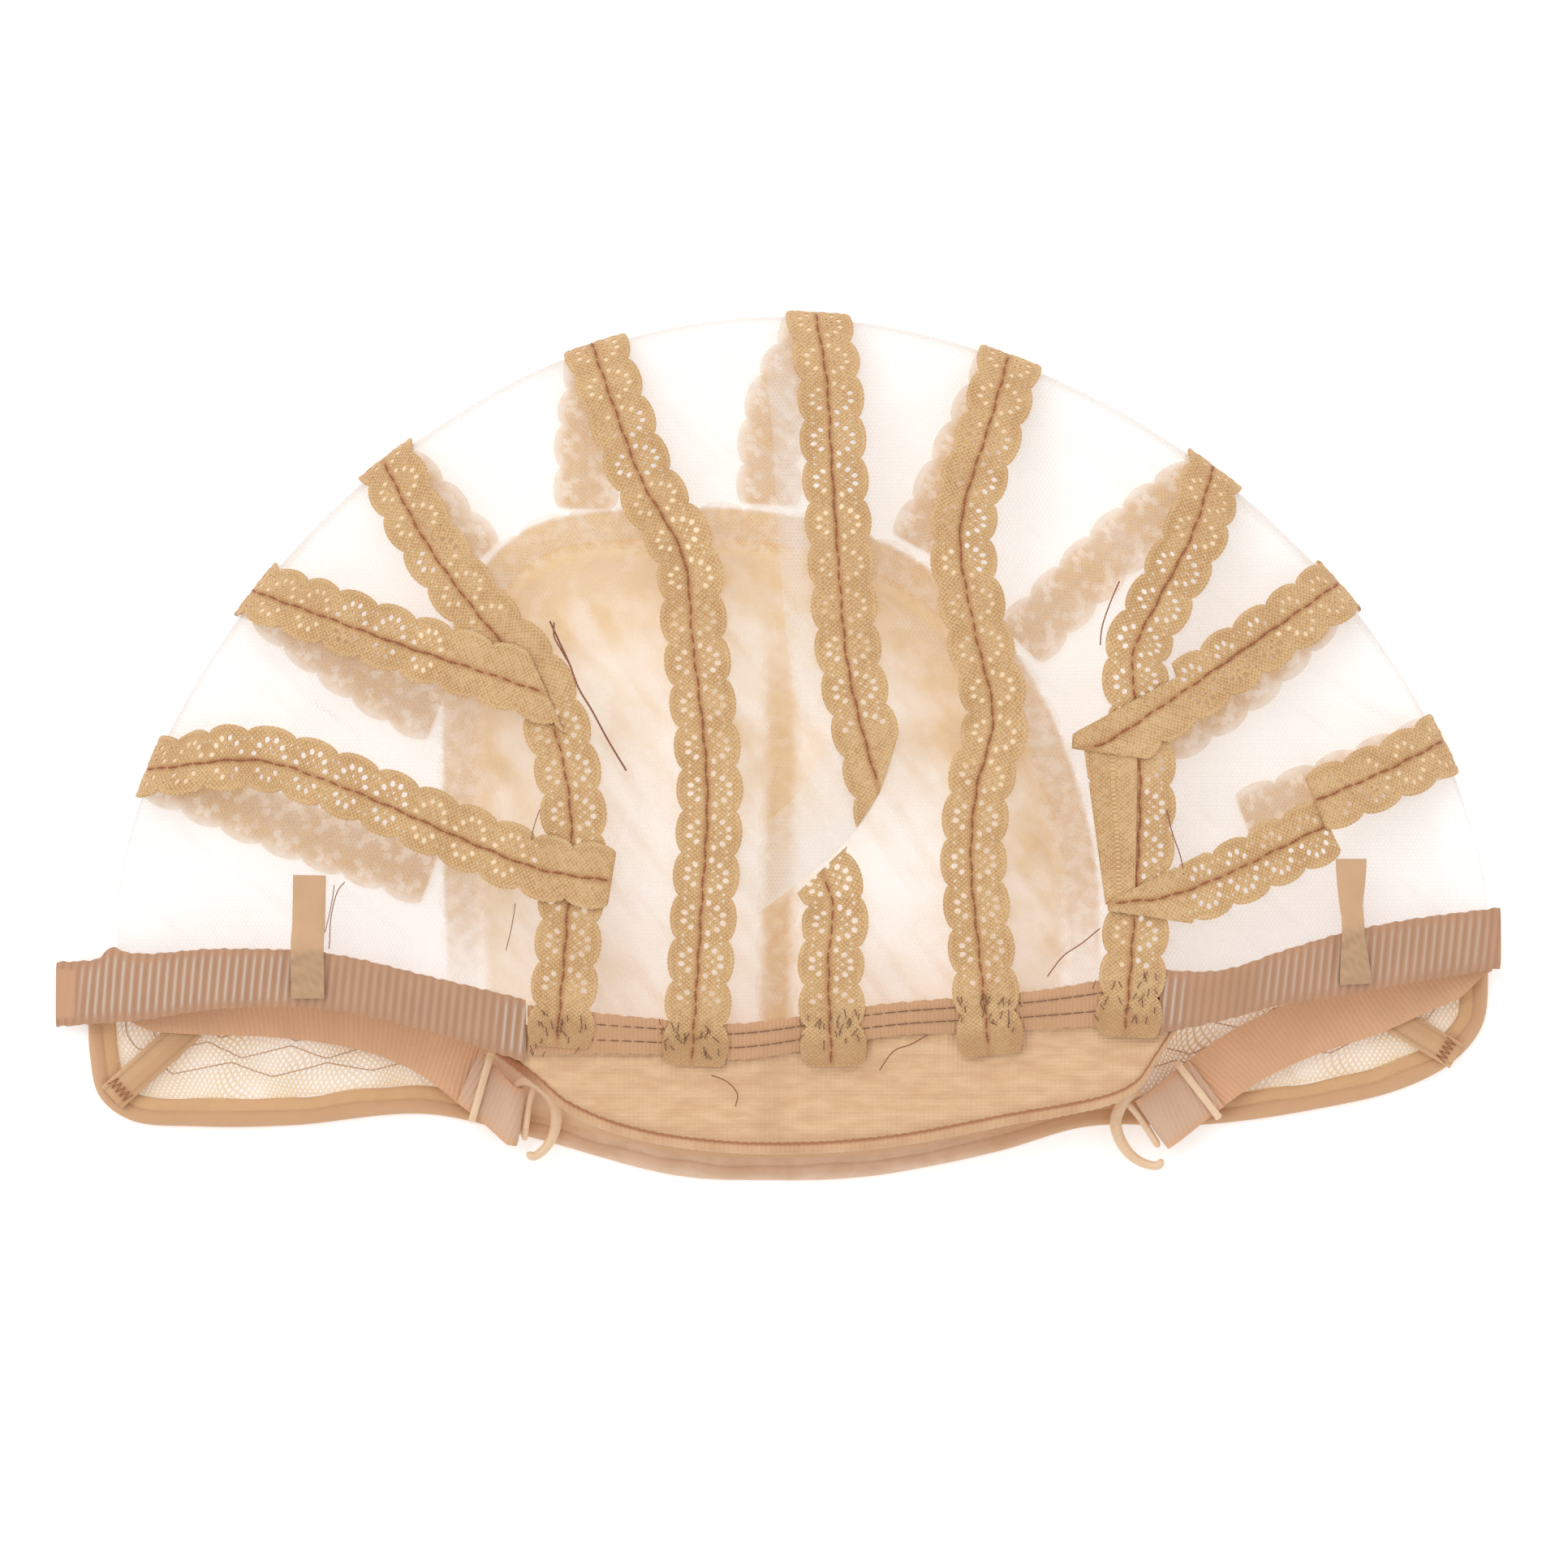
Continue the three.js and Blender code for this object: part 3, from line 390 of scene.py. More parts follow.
# Hook from the bar in the strap's fold to the curled tip, and the bar that closes its ring
HookPoint = namedtuple("HookPoint", "across out")
HOOK_LINE = [
    HookPoint(-4.6, 0),
    HookPoint(5.6, 0),
    HookPoint(7.0, 2.0),
    HookPoint(6.2, 4.9),
    HookPoint(4.3, 7.4),
    HookPoint(0.9, 8.7),
    HookPoint(-2.7, 8.6),
    HookPoint(-5.5, 7.3),
    HookPoint(-7.2, 5.3),
    HookPoint(-6.6, 4.0),
]
RING_LINE = [HookPoint(6.3, 3.4), HookPoint(3.6, 3.0), HookPoint(-1.0, 3.0), HookPoint(-4.4, 3.2)]
RING_BAR = 0.7

# Tabs on the ear bands and stays in the ear flaps
Tab = namedtuple("Tab", "name width waist raised path")
TABS = [
    Tab("tab_left", 6.3, 1.0, 11, [(-89.4, -25.1), (-89.6, -38), (-89.6, -49)]),
    Tab("tab_right", 5.9, 0.72, 12, [(109.8, -22), (109.8, -33), (110.4, -46)]),
]
TAB_BASE, TAB_THICK, TAB_RAMP, TAB_SHADE = STACK + 0.15, 0.6, 4.0, 0.5
STAY_THICK = 0.7
Stay = namedtuple("Stay", "name width start end")
STAYS = [
    Stay("ear_stay_left", 5.8, (-128.6, -68.2), (-112.8, -54)),
    Stay("ear_stay_right", 5.4, (131.2, -60.2), (117.6, -52)),
]

# Threads: stitch length, gap and radius of the strips' seams
STITCH, STITCH_GAP, STITCH_RADIUS = 2.6, 0.15, 0.17
STITCH_SWAY, STITCH_SUNK, STITCH_BOW = 0.12, 0.12, 0.26
# Tacks of a strip's end: number, spread along X, radius, highest share of the band, turn and lengths
TACKS, TACK_SPREAD, TACK_RADIUS = 22, 6.0, 0.1
TACK_HIGHEST, TACK_TURN, TACK_LENGTHS = 0.95, 0.45, (0.9, 1.9)
# Seams along the nape band: shares of its width, pitch, stitch, and how far a stitch sinks and bows up
NAPE_SEAMS, SEAM_PITCH, SEAM_STITCH, SEAM_SUNK, SEAM_BOW = (0.34, 0.72), 2.4, 2.1, 0.1, 0.2
STITCH_WAYS = np.linspace(0, 1, 6)
# Bar tacks on the stays' outer ends: distance from the end, depth, share of the width, teeth and lift
BARTACK_INSET, BARTACK_DEPTH, BARTACK_WIDTH, BARTACK_TEETH, BARTACK_LIFT = 1.2, 2.4, 0.84, 9, 0.3
# Direction that no thread follows
THREAD_REFERENCE = (0.31, 0.17, 0.94)
# Zigzag threads of the ear nets: shares of the way from hem to seam, teeth, their depth, lift, radius
EAR_THREAD_WAYS, EAR_TEETH, EAR_TOOTH = (0.2, 0.36, 0.52, 0.7), 9, 0.12
EAR_THREAD_LIFT, EAR_THREAD_RADIUS = 0.45, 0.11
# Loose threads on the upper layer: radius and plan points
LooseThread = namedtuple("LooseThread", "radius path")
LOOSE_THREADS = [
    LooseThread(
        0.2,
        [
            (-43.4, 23.4), (-41.8, 19.9), (-39.6, 15.2), (-37.8, 10.5),
            (-35.4, 6.5), (-32.1, 0.4), (-28.8, -5.1),
        ],
    ),
    LooseThread(0.17, [(-42.6, 23.2), (-42.5, 20.4), (-41, 17.6), (-39.3, 14.6)]),
    LooseThread(0.1, [(-85.6, -39.2), (-84.9, -33), (-83.8, -28), (-82.6, -26.4)]),
    LooseThread(0.09, [(-86.4, -36), (-85, -31.4), (-84.6, -27)]),
    LooseThread(0.12, [(74.4, -12.6), (75.4, -17.4), (77, -22), (77.8, -26)]),
    LooseThread(0.14, [(65.4, 31), (63.4, 26.6), (62, 22.4), (61.7, 18.8)]),
    LooseThread(0.12, [(51.6, -44.4), (54.6, -40.4), (58.4, -37.8), (61.6, -35.2)]),
    LooseThread(0.12, [(19.6, -62.4), (22.4, -58.6), (25.6, -57.4), (28.8, -55.6)]),
    LooseThread(0.12, [(-12.6, -63.4), (-9.6, -64.6), (-7.6, -67), (-8, -69.4)]),
    LooseThread(0.09, [(-45.4, -12.6), (-46.6, -17), (-47, -19.6)]),
    LooseThread(0.09, [(-50, -30.4), (-50.6, -35), (-51.8, -39.4)]),
]
LOOSE_LIFT, LOOSE_WAVE = 2.6, 0.9

# Waves in the cloth
Waves = namedtuple("Waves", "height length seed")
LACE_SWAY = Waves(0.12, 30.0, 3)
NET_WRINKLE, NET_CRINKLE = Waves(0.4, 26.0, 7), Waves(0.16, 7.0, 8)
PANEL_CRUMPLE, PANEL_CRINKLE = Waves(0.5, 12.0, 21), Waves(0.2, 5.0, 22)
CLOUD_WAVES = Waves(0.35, 14.0, 23)
EAR_SAG, EAR_SLACK = Waves(0.3, 8.0, 24), Waves(1.1, 15.0, 25)
HEM_WOBBLE, HEM_SWELL = Waves(0.25, 18.0, 31), Waves(0.2, 9.0, 32)
BAND_SWELL = Waves(0.15, 24.0, 41)
NAPE_CRINKLE, NAPE_SAG = Waves(0.28, 7.0, 51), Waves(0.3, 22.0, 52)
TAB_SWELL, TAB_GATHER, TAB_BLOTCH = Waves(0.05, 6.0, 61), Waves(0.2, 3.2, 63), Waves(0.2, 2.6, 64)
STAY_SWELL = Waves(0.1, 7.0, 62)

# Ridges across bands: height, place and width as shares of the band
Ridge = namedtuple("Ridge", "height place width")
HEM_ROLL, HEM_FOLD, HEM_PUCKER = Ridge(0.4, 0.22, 0.2), Ridge(-0.2, 0.52, 0.05), Ridge(0.1, 0.62, 0.2)
HEM_FOLD_SHADE = Ridge(0.3, 0.52, 0.05)
STAY_FOLD, STAY_SEAM = Ridge(0.18, 0.4, 0.08), Ridge(0.5, 0.33, 0.03)
BINDING_SEAM = Ridge(0.9, 0.75, 0.35)

# Colours of the lace: its ground, painted shade in its weave's hollows and painted highlight on its
# threads, the edge cords, the stitch line, sewn ends, painted light in the eyelets and the lower layer's
# haze, painted lighter
LACE_DARK, LACE_LIGHT = srgb(206, 163, 112), srgb(222, 183, 131)
LACE_HOLLOW_SHADE, LACE_THREAD_HIGHLIGHT = srgb(170, 124, 82), srgb(241, 207, 163)
LACE_CORD, LACE_SEAM, LACE_SEWN = srgb(232, 196, 152), srgb(182, 126, 84), srgb(186, 140, 100)
LACE_EYELET_LIGHT, LACE_HAZE_LIGHT = srgb(249, 229, 196), srgb(246, 202, 136)
# Dark and light of the threads
NET_THREAD = srgb(176, 134, 100), srgb(206, 168, 132)
SEAM_THREAD = srgb(136, 74, 46), srgb(176, 106, 70)
BARTACK_THREAD = srgb(146, 84, 54), srgb(182, 114, 76)
DARK_THREAD = srgb(100, 66, 50), srgb(140, 98, 74)
LOOSE_THREAD = srgb(128, 78, 60), srgb(160, 104, 80)
# Ribbons: body, painted shade in the grooves between ribs, and pale ribs
EAR_RIBBON = srgb(184, 141, 111), srgb(170, 127, 99), srgb(198, 178, 162)
NAPE_RIBBON = srgb(202, 157, 119), srgb(196, 150, 113), srgb(212, 178, 150)
STRAP_RIBBON = srgb(216, 168, 131), srgb(211, 162, 126), srgb(208, 180, 158)
# Knits: dark, light and seams; on the nape panel the seam colour also paints shade along its edges
NAPE_KNIT = srgb(214, 172, 132), srgb(228, 190, 150), srgb(186, 146, 110)
ROLLED_KNIT = srgb(202, 158, 120), srgb(218, 177, 138), srgb(158, 98, 62)
# Tapes: inner and outer half, and the hem's middle, painted paler where the nape panel shades it, and
# pinker
HEM_TAPE = srgb(220, 175, 130), srgb(212, 167, 128)
PLAIN_TAPE = srgb(214, 172, 130), srgb(208, 164, 122)
TAB_TAPE = srgb(210, 170, 132), srgb(210, 170, 132)
TAPE_MIDDLE_LIGHT = srgb(236, 204, 180)
# Nets: thin and dense places; the front panel's two warm tones and its dense places
SHEER_NET = srgb(232, 226, 221), srgb(230, 220, 214)
EAR_MESH = srgb(224, 190, 140), srgb(206, 174, 130)
PANEL_WARM, PANEL_DENSE = (srgb(236, 192, 122), srgb(242, 208, 144)), srgb(226, 190, 152)
# Weave of the nets: opacity between and on the threads, pitch and directions of the threads, and the
# power that makes them thin
Weave = namedtuple("Weave", "thin thick cell turns")
SHEER_WEAVE = Weave(0.1, 0.2, 0.7, (30, 90, 150))
EAR_WEAVE = Weave(0.3, 0.76, 0.85, (32, 148))
THREAD_POWER = 3.0
# Two cloudy tones of the plastic
PLASTIC = srgb(222, 184, 146), srgb(240, 212, 180)

# Stage: the floor's size and height in metres and its glow, light from all round and a soft key light
FLOOR_SIZE, FLOOR_Z, FLOOR_GLOW = 6, -0.0004, 0.24
FLOOR_TONES = (0.955, 0.955, 0.955, 1), (0.97, 0.97, 0.97, 1)
WHITE = (1.0, 1.0, 1.0, 1.0)
ROUND_COLOUR, ROUND_STRENGTH = (1.0, 0.995, 0.985, 1), 0.9
KEY_STRENGTH, KEY_SPREAD, KEY_TURN = 0.7, 50, (-28, -24, 0)

# Camera: straight above, the picture's width and its middle in the part's frame; it sees CLIP_END metres
PICTURE_WIDTH = 302.0
PICTURE_X, PICTURE_Y, PICTURE_Z = 1.3, -7.6, 8.0
CAMERA_HEIGHT = 1800.0
SENSOR = 36.0
CLIP_END = 50


def smoothstep(value, low, high):
    share = np.clip((value - low) / (high - low), 0, 1)
    return share * share * (3 - 2 * share)


def unit(vectors):
    return vectors / np.maximum(np.linalg.norm(vectors, axis=-1, keepdims=True), 1e-12)


def left_of(directions):
    """Plan directions turned a quarter to the left."""
    return unit(np.column_stack([-directions[:, 1], directions[:, 0]]))


def ripple(x, y, size, seed):
    """Smooth waves from about -1 to 1 over plan points, the same on each run."""
    draw = np.random.default_rng(seed)
    total = np.zeros_like(x)
    for turn in draw.uniform(0, math.tau, 5):
        length = size * draw.uniform(0.6, 1.6)
        total += np.sin((x * math.cos(turn) + y * math.sin(turn)) * math.tau / length + 6 * turn)
    return total / 3


def waves(kind, x, y):
    """Height of one kind of waves in the cloth."""
    return kind.height * ripple(x, y, kind.length, kind.seed)


def bell(value, middle, width):
    return np.exp(-(((value - middle) / width) ** 2))


def ridge(kind, share):
    """Height of one kind of ridge at shares of a band's width."""
    return kind.height * bell(share, kind.place, kind.width)


def inside_edges(share, low, high):
    """Rises from 0 to 1 inwards from both edges of a band, over a span of shares."""
    return smoothstep(share, low, high) * smoothstep(1 - share, low, high)


def table_value(rows, column, x):
    """Smooth value of one column of a table at places along X."""
    xs = np.array([row.x for row in rows])
    values = np.array([getattr(row, column) for row in rows])
    at = np.clip(np.searchsorted(xs, x, side="right") - 1, 0, len(xs) - 2)
    before, after = np.maximum(at - 1, 0), np.minimum(at + 2, len(xs) - 1)
    span = xs[at + 1] - xs[at]
    t = np.clip((x - xs[at]) / span, 0, 1)
    slope_a = (values[at + 1] - values[before]) / (xs[at + 1] - xs[before]) * span
    slope_b = (values[after] - values[at]) / (xs[after] - xs[at]) * span
    return (
        (2 * t**3 - 3 * t**2 + 1) * values[at]
        + (t**3 - 2 * t**2 + t) * slope_a
        + (3 * t**2 - 2 * t**3) * values[at + 1]
        + (t**3 - t**2) * slope_b
    )


def band_edges(rows, x):
    return table_value(rows, "bottom", x), table_value(rows, "top", x)


def distances_along(points):
    steps = np.linalg.norm(np.diff(points, axis=0), axis=1)
    return np.concatenate([[0], np.cumsum(steps)])


class PlanCurve:
    """Smooth curve through plan points, read by distance from its start."""

    STEPS = 40

    def __init__(self, points):
        p = np.asarray(points, float)
        p = np.vstack([2 * p[0] - p[1], p, 2 * p[-1] - p[-2]])
        spans = [self.span(*p[i : i + 4]) for i in range(len(p) - 3)]
        self.points = np.vstack([*spans, p[-2:-1]])
        self.distances = distances_along(self.points)
        self.length = self.distances[-1]

    def span(self, a, b, c, d):
        """Centripetal Catmull-Rom points from b up to c."""
        knots = np.cumsum([0] + [math.sqrt(np.linalg.norm(q - p)) for p, q in ((a, b), (b, c), (c, d))])
        t = np.linspace(knots[1], knots[2], self.STEPS, endpoint=False)[:, None]

        def between(p, q, i, j):
            return (p * (knots[j] - t) + q * (t - knots[i])) / (knots[j] - knots[i])

        ab, bc, cd = between(a, b, 0, 1), between(b, c, 1, 2), between(c, d, 2, 3)
        return between(between(ab, bc, 0, 2), between(bc, cd, 1, 3), 1, 2)

    def at(self, distance):
        return np.column_stack([np.interp(distance, self.distances, self.points[:, i]) for i in (0, 1)])

    def direction(self, distance):
        step = 0.3
        distance = np.clip(distance, step, self.length - step)
        return unit(self.at(distance + step) - self.at(distance - step))

    def beside(self, distance, across):
        """Plan points to the left of the curve."""
        across = np.broadcast_to(across, len(distance))
        return self.at(distance) + left_of(self.direction(distance)) * across[:, None]


def reach(plan):
    """Share of the way from the middle of the mouth (0) to the crown fold (1)."""
    up = np.maximum(0, plan[:, 1] - DOME_Y) / DOME_HEIGHT
    side = np.abs(plan[:, 0] - DOME_X + DOME_LEAN * up**3) / DOME_HALF_WIDTH
    return (side**SIDE_POWER + up**TOP_POWER) ** (1 / SIDE_POWER)


def reach_gradient(plan):
    step = 0.02
    along_x = reach(plan + (step, 0)) - reach(plan - (step, 0))
    along_y = reach(plan + (0, step)) - reach(plan - (0, step))
    return np.column_stack([along_x, along_y]) / (2 * step)


def slide_in(plan):
    """Plan points with those outside the crown fold moved onto it."""
    moved = np.array(plan, float)
    outside = reach(moved) > 1
    for _ in range(6):
        gradient = reach_gradient(moved[outside])
        miss = (reach(moved[outside]) - 1) / np.maximum((gradient**2).sum(axis=1), 1e-12)
        moved[outside] -= gradient * miss[:, None]
    return moved


def on_cap(plan, upper, lift):
    """Points at a height above the net's middle, on the upper or the lower layer."""
    plan = slide_in(plan)
    share = np.minimum(reach(plan), NEARLY_EDGE)
    gradient = reach_gradient(plan)
    if upper:
        droop = 1 - DROOP_SHARE * smoothstep(-plan[:, 1], DROOP_START, DROOP_END)
        rest = 1 - share**LOFT_POWER
        z = FOLD_Z + CROWN_RISE * rest**LOFT_ROUND * droop
        bend = LOFT_ROUND * LOFT_POWER * share ** (LOFT_POWER - 1) * rest ** (LOFT_ROUND - 1)
        outward = np.column_stack([gradient * (CROWN_RISE * bend * droop)[:, None], np.ones(len(plan))])
    else:
        turn = np.maximum(0, (share - 1 + FOLD_SPAN) / FOLD_SPAN)
        rounding = np.sqrt(1 - turn**2)
        drop = FOLD_Z - NET_LOW
        z = FOLD_Z - drop * rounding
        slope = drop * turn / (FOLD_SPAN * rounding)
        outward = np.column_stack([gradient * slope[:, None], -np.ones(len(plan))])
    lifts = np.broadcast_to(lift, len(plan))
    return np.column_stack([plan, z]) + unit(outward) * lifts[:, None]


def on_upper(x, y, lift):
    return on_cap(np.column_stack([x, y]), True, lift)


def on_band(x, y, lift):
    """Points on an edge ribbon, which leaves the dome at its shoulder and droops to its free tip."""
    across = BAND_SHOULDER * DOME_HALF_WIDTH
    near = np.clip(x, DOME_X - across, DOME_X + across)
    points = on_upper(near, np.minimum(y, DOME_Y), lift)
    points[:, 0] += x - near
    points[:, 1] = y
    points[:, 2] -= BAND_TIP_SLOPE * np.abs(x - near)
    return points


def grid_quads(columns, rows):
    """Faces between the points of a grid."""
    index = np.arange(columns * rows).reshape(columns, rows)
    corners = [index[:-1, :-1], index[1:, :-1], index[1:, 1:], index[:-1, 1:]]
    return np.stack(corners, axis=-1).reshape(-1, 4)


def thick_faces(triangles, count):
    """Faces of a closed sheet: upper triangles, the same turned over below, and walls round every edge."""
    edges = np.vstack([triangles[:, [0, 1]], triangles[:, [1, 2]], triangles[:, [2, 0]]])
    forward = edges[:, 0] * count + edges[:, 1]
    backward = edges[:, 1] * count + edges[:, 0]
    rim = edges[~np.isin(forward, backward)]
    walls = np.column_stack([rim[:, 1], rim[:, 0], rim[:, 0] + count, rim[:, 1] + count])
    return [triangles, triangles[:, ::-1] + count, walls]


class Shape:
    """Points, faces and run values of one mesh, gathered from several bits."""

    def __init__(self):
        self.points, self.faces, self.run = [], [], []
        self.count = 0

    def add(self, points, faces, run):
        points = np.asarray(points, float).reshape(-1, 3)
        for group in faces:
            self.faces += (np.asarray(group) + self.count).tolist()
        self.points.append(points)
        self.run.append(np.asarray(run, float).reshape(-1, 3))
        self.count += len(points)
        return self

    def add_sheet(self, rows, runs):
        """One layer of cloth over rows of points."""
        points = np.array(rows).transpose(1, 0, 2)
        return self.add(points, [grid_quads(*points.shape[:2])], np.array(runs).transpose(1, 0, 2))

    def add_cloth(self, top, bottom, triangles, run):
        """Closed thin cloth between two faces of the same triangles."""
        return self.add(np.vstack([top, bottom]), thick_faces(triangles, len(top)), np.vstack([run, run]))

    def add_rings(self, rings, run, looped=False):
        """Skin through a row of closed rings, closed at both ends unless the row is a loop."""
        count, around, _ = rings.shape
        index = np.arange(count * around).reshape(count, around)
        after = np.roll(index, -1, axis=0)
        this, after = (index, after) if looped else (index[:-1], after[:-1])
        corners = [this, np.roll(this, -1, axis=1), np.roll(after, -1, axis=1), after]
        faces = [np.stack(corners, axis=-1).reshape(-1, 4)]
        if not looped:
            faces += [index[:1, ::-1], index[-1:]]
        return self.add(rings, faces, run)

    def add_faces(self, outer, inner, run):
        """Closed band between two faces over the same grid."""
        rings, runs = (np.concatenate([a, b[:, ::-1]], axis=1) for a, b in ((outer, inner), (run, run)))
        return self.add_rings(rings, runs)

    def add_tube(self, line, radius, sides=6):
        """Round thread or rod along a line of points."""
        line = np.asarray(line, float)
        tangent = unit(np.gradient(line, axis=0))
        side = unit(np.cross(tangent, THREAD_REFERENCE))
        up = np.cross(side, tangent)
        angle = math.tau * np.arange(sides) / sides
        radius = np.broadcast_to(radius, len(line))[:, None, None]
        spokes = np.cos(angle)[None, :, None] * side[:, None] + np.sin(angle)[None, :, None] * up[:, None]
        run = np.zeros((len(line), sides, 3))
        run[:, :, 0] = distances_along(line)[:, None]
        run[:, :, 1] = angle / math.tau
        return self.add_rings(line[:, None] + radius * spokes, run)

    def add_band(self, place, stations, edges, base, thick, relief, mark, across=13):
        """Closed band of cloth, laid by place(along, across, lift), with a relief on its upper face."""
        share = np.linspace(0, 1, across)
        s, t = np.meshgrid(stations, share, indexing="ij")
        low, high = (np.broadcast_to(edge, len(stations))[:, None] for edge in edges(stations))
        v = low + t * (high - low)
        soft = EDGE_SOFT * thick * np.abs(2 * t - 1) ** EDGE_POWER
        top = place(s.ravel(), v.ravel(), (base + thick - soft + relief(s, t)).ravel())
        bottom = place(s.ravel(), v.ravel(), (base + soft).ravel())
        grid = (len(stations), across)
        face = np.stack([s, t, mark(s, t)], axis=-1)
        return self.add_faces(top.reshape(*grid, 3), bottom.reshape(*grid, 3), face)


def make_piece(name, shape, material, replaces=(), closed=True, low_material=None):
    """Mesh object in metres that rides on the part and stands for its nodes, which it hides."""
    mesh = bpy.data.meshes.new(name)
    mesh.from_pydata((np.concatenate(shape.points) * MM).tolist(), [], shape.faces)
    if closed:
        work = bmesh.new()
        work.from_mesh(mesh)
        bmesh.ops.recalc_face_normals(work, faces=work.faces)
        work.to_mesh(mesh)
        work.free()
    run = mesh.attributes.new("run", "FLOAT_VECTOR", "POINT")
    run.data.foreach_set("vector", np.concatenate(shape.run).astype(np.float32).ravel())
    mesh.materials.append(material)
    if low_material:
        mesh.materials.append(low_material)
        middles = np.empty(3 * len(mesh.polygons))
        mesh.polygons.foreach_get("center", middles)
        mesh.polygons.foreach_set("material_index", (middles[2::3] < HAZE_HIGH * MM).astype(np.int32))
    mesh.shade_smooth()
    mesh.set_sharp_from_angle(angle=SHARP_ANGLE)
    piece = bpy.data.objects.new(name, mesh)
    bpy.context.scene.collection.objects.link(piece)
    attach(piece, "root")
    if replaces:
        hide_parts(*replaces)
    return piece


def look_shift(colour, factor):
    """Colour made lighter or darker by a factor."""
    return (*(min(1.0, part * factor) for part in colour[:3]), 1.0)


class Look:
    """A material under construction: one Principled shader and the nodes that feed it."""

    def __init__(self, name, roughness, sheen=0.0, specular=0.25):
        self.material = bpy.data.materials.new(name)
        self.material.use_nodes = True
        self.tree = self.material.node_tree
        self.shader = self.tree.nodes["Principled BSDF"]
        self.shader.inputs["Roughness"].default_value = roughness
        self.shader.inputs["Sheen Weight"].default_value = sheen
        self.shader.inputs["Specular IOR Level"].default_value = specular

    def feed(self, socket, value):
        """Links a node's output to a socket, or sets the socket to a plain value."""
        if isinstance(value, bpy.types.NodeSocket):
            self.tree.links.new(value, socket)
        else:
            socket.default_value = value

    def paint(self, **inputs):
        """Feeds the shader's sockets, named with underscores for spaces."""
        for name, value in inputs.items():
            self.feed(self.shader.inputs[name.replace("_", " ")], value)

    def node(self, kind, inputs=(), **settings):
        """New node with its settings, its inputs fed by name or number."""
        node = self.tree.nodes.new(kind)
        for name, value in settings.items():
            setattr(node, name, value)
        for socket, value in dict(inputs).items():
            self.feed(node.inputs[socket], value)
        return node

    def math(self, operation, a, b=0.0, c=0.0):
        return self.node("ShaderNodeMath", enumerate((a, b, c)), operation=operation).outputs[0]

    def run(self):
        """The three run values of the mesh as sockets, in millimetres."""
        attribute = self.node("ShaderNodeAttribute", attribute_name="run")
        return self.node("ShaderNodeSeparateXYZ", {0: attribute.outputs["Vector"]}).outputs

    def point(self, x, y):
        return self.node("ShaderNodeCombineXYZ", {0: x, 1: y}).outputs[0]

    def place(self):
        """The point in the part's frame, in millimetres."""
        point = self.node("ShaderNodeTexCoord").outputs["Object"]
        return self.node("ShaderNodeVectorMath", {0: point, "Scale": 1 / MM}, operation="SCALE").outputs[0]

    def axis(self, place, number):
        return self.node("ShaderNodeSeparateXYZ", {0: place}).outputs[number]

    def noise(self, vector, size, detail=2.0, roughness=0.5):
        """Cloudy value from 0 to 1 with blotches of a size in millimetres."""
        inputs = {"Vector": vector, "Scale": 1 / size, "Detail": detail, "Roughness": roughness}
        return self.node("ShaderNodeTexNoise", inputs).outputs["Fac"]

    def wave(self, value, pitch):
        """Even wave from 0 to 1 with a pitch in millimetres."""
        swing = self.math("SINE", self.math("MULTIPLY", value, math.tau / pitch))
        return self.math("MULTIPLY_ADD", swing, 0.5, 0.5)

    def slanted(self, x, y, degrees):
        """Distance along a direction turned by an angle from the first axis."""
        turn = math.radians(degrees)
        along_x = self.math("MULTIPLY", x, math.cos(turn))
        return self.math("ADD", along_x, self.math("MULTIPLY", y, math.sin(turn)))

    def spread(self, value, low, high, to_low=0.0, to_high=1.0):
        """Value mapped from one span to another, held at its ends."""
        inputs = {"Value": value, "From Min": low, "From Max": high, "To Min": to_low, "To Max": to_high}
        return self.node("ShaderNodeMapRange", inputs, interpolation_type="SMOOTHSTEP").outputs["Result"]

    def mix(self, share, first, second):
        """Colour between two colours."""
        inputs = {"Factor": share, 6: first, 7: second}
        return self.node("ShaderNodeMix", inputs, data_type="RGBA").outputs[2]

    def bump(self, height, depth):
        """Small relief of a depth in millimetres."""
        inputs = {"Distance": depth * MM, "Strength": 1.0, "Height": height}
        self.paint(Normal=self.node("ShaderNodeBump", inputs).outputs[0])


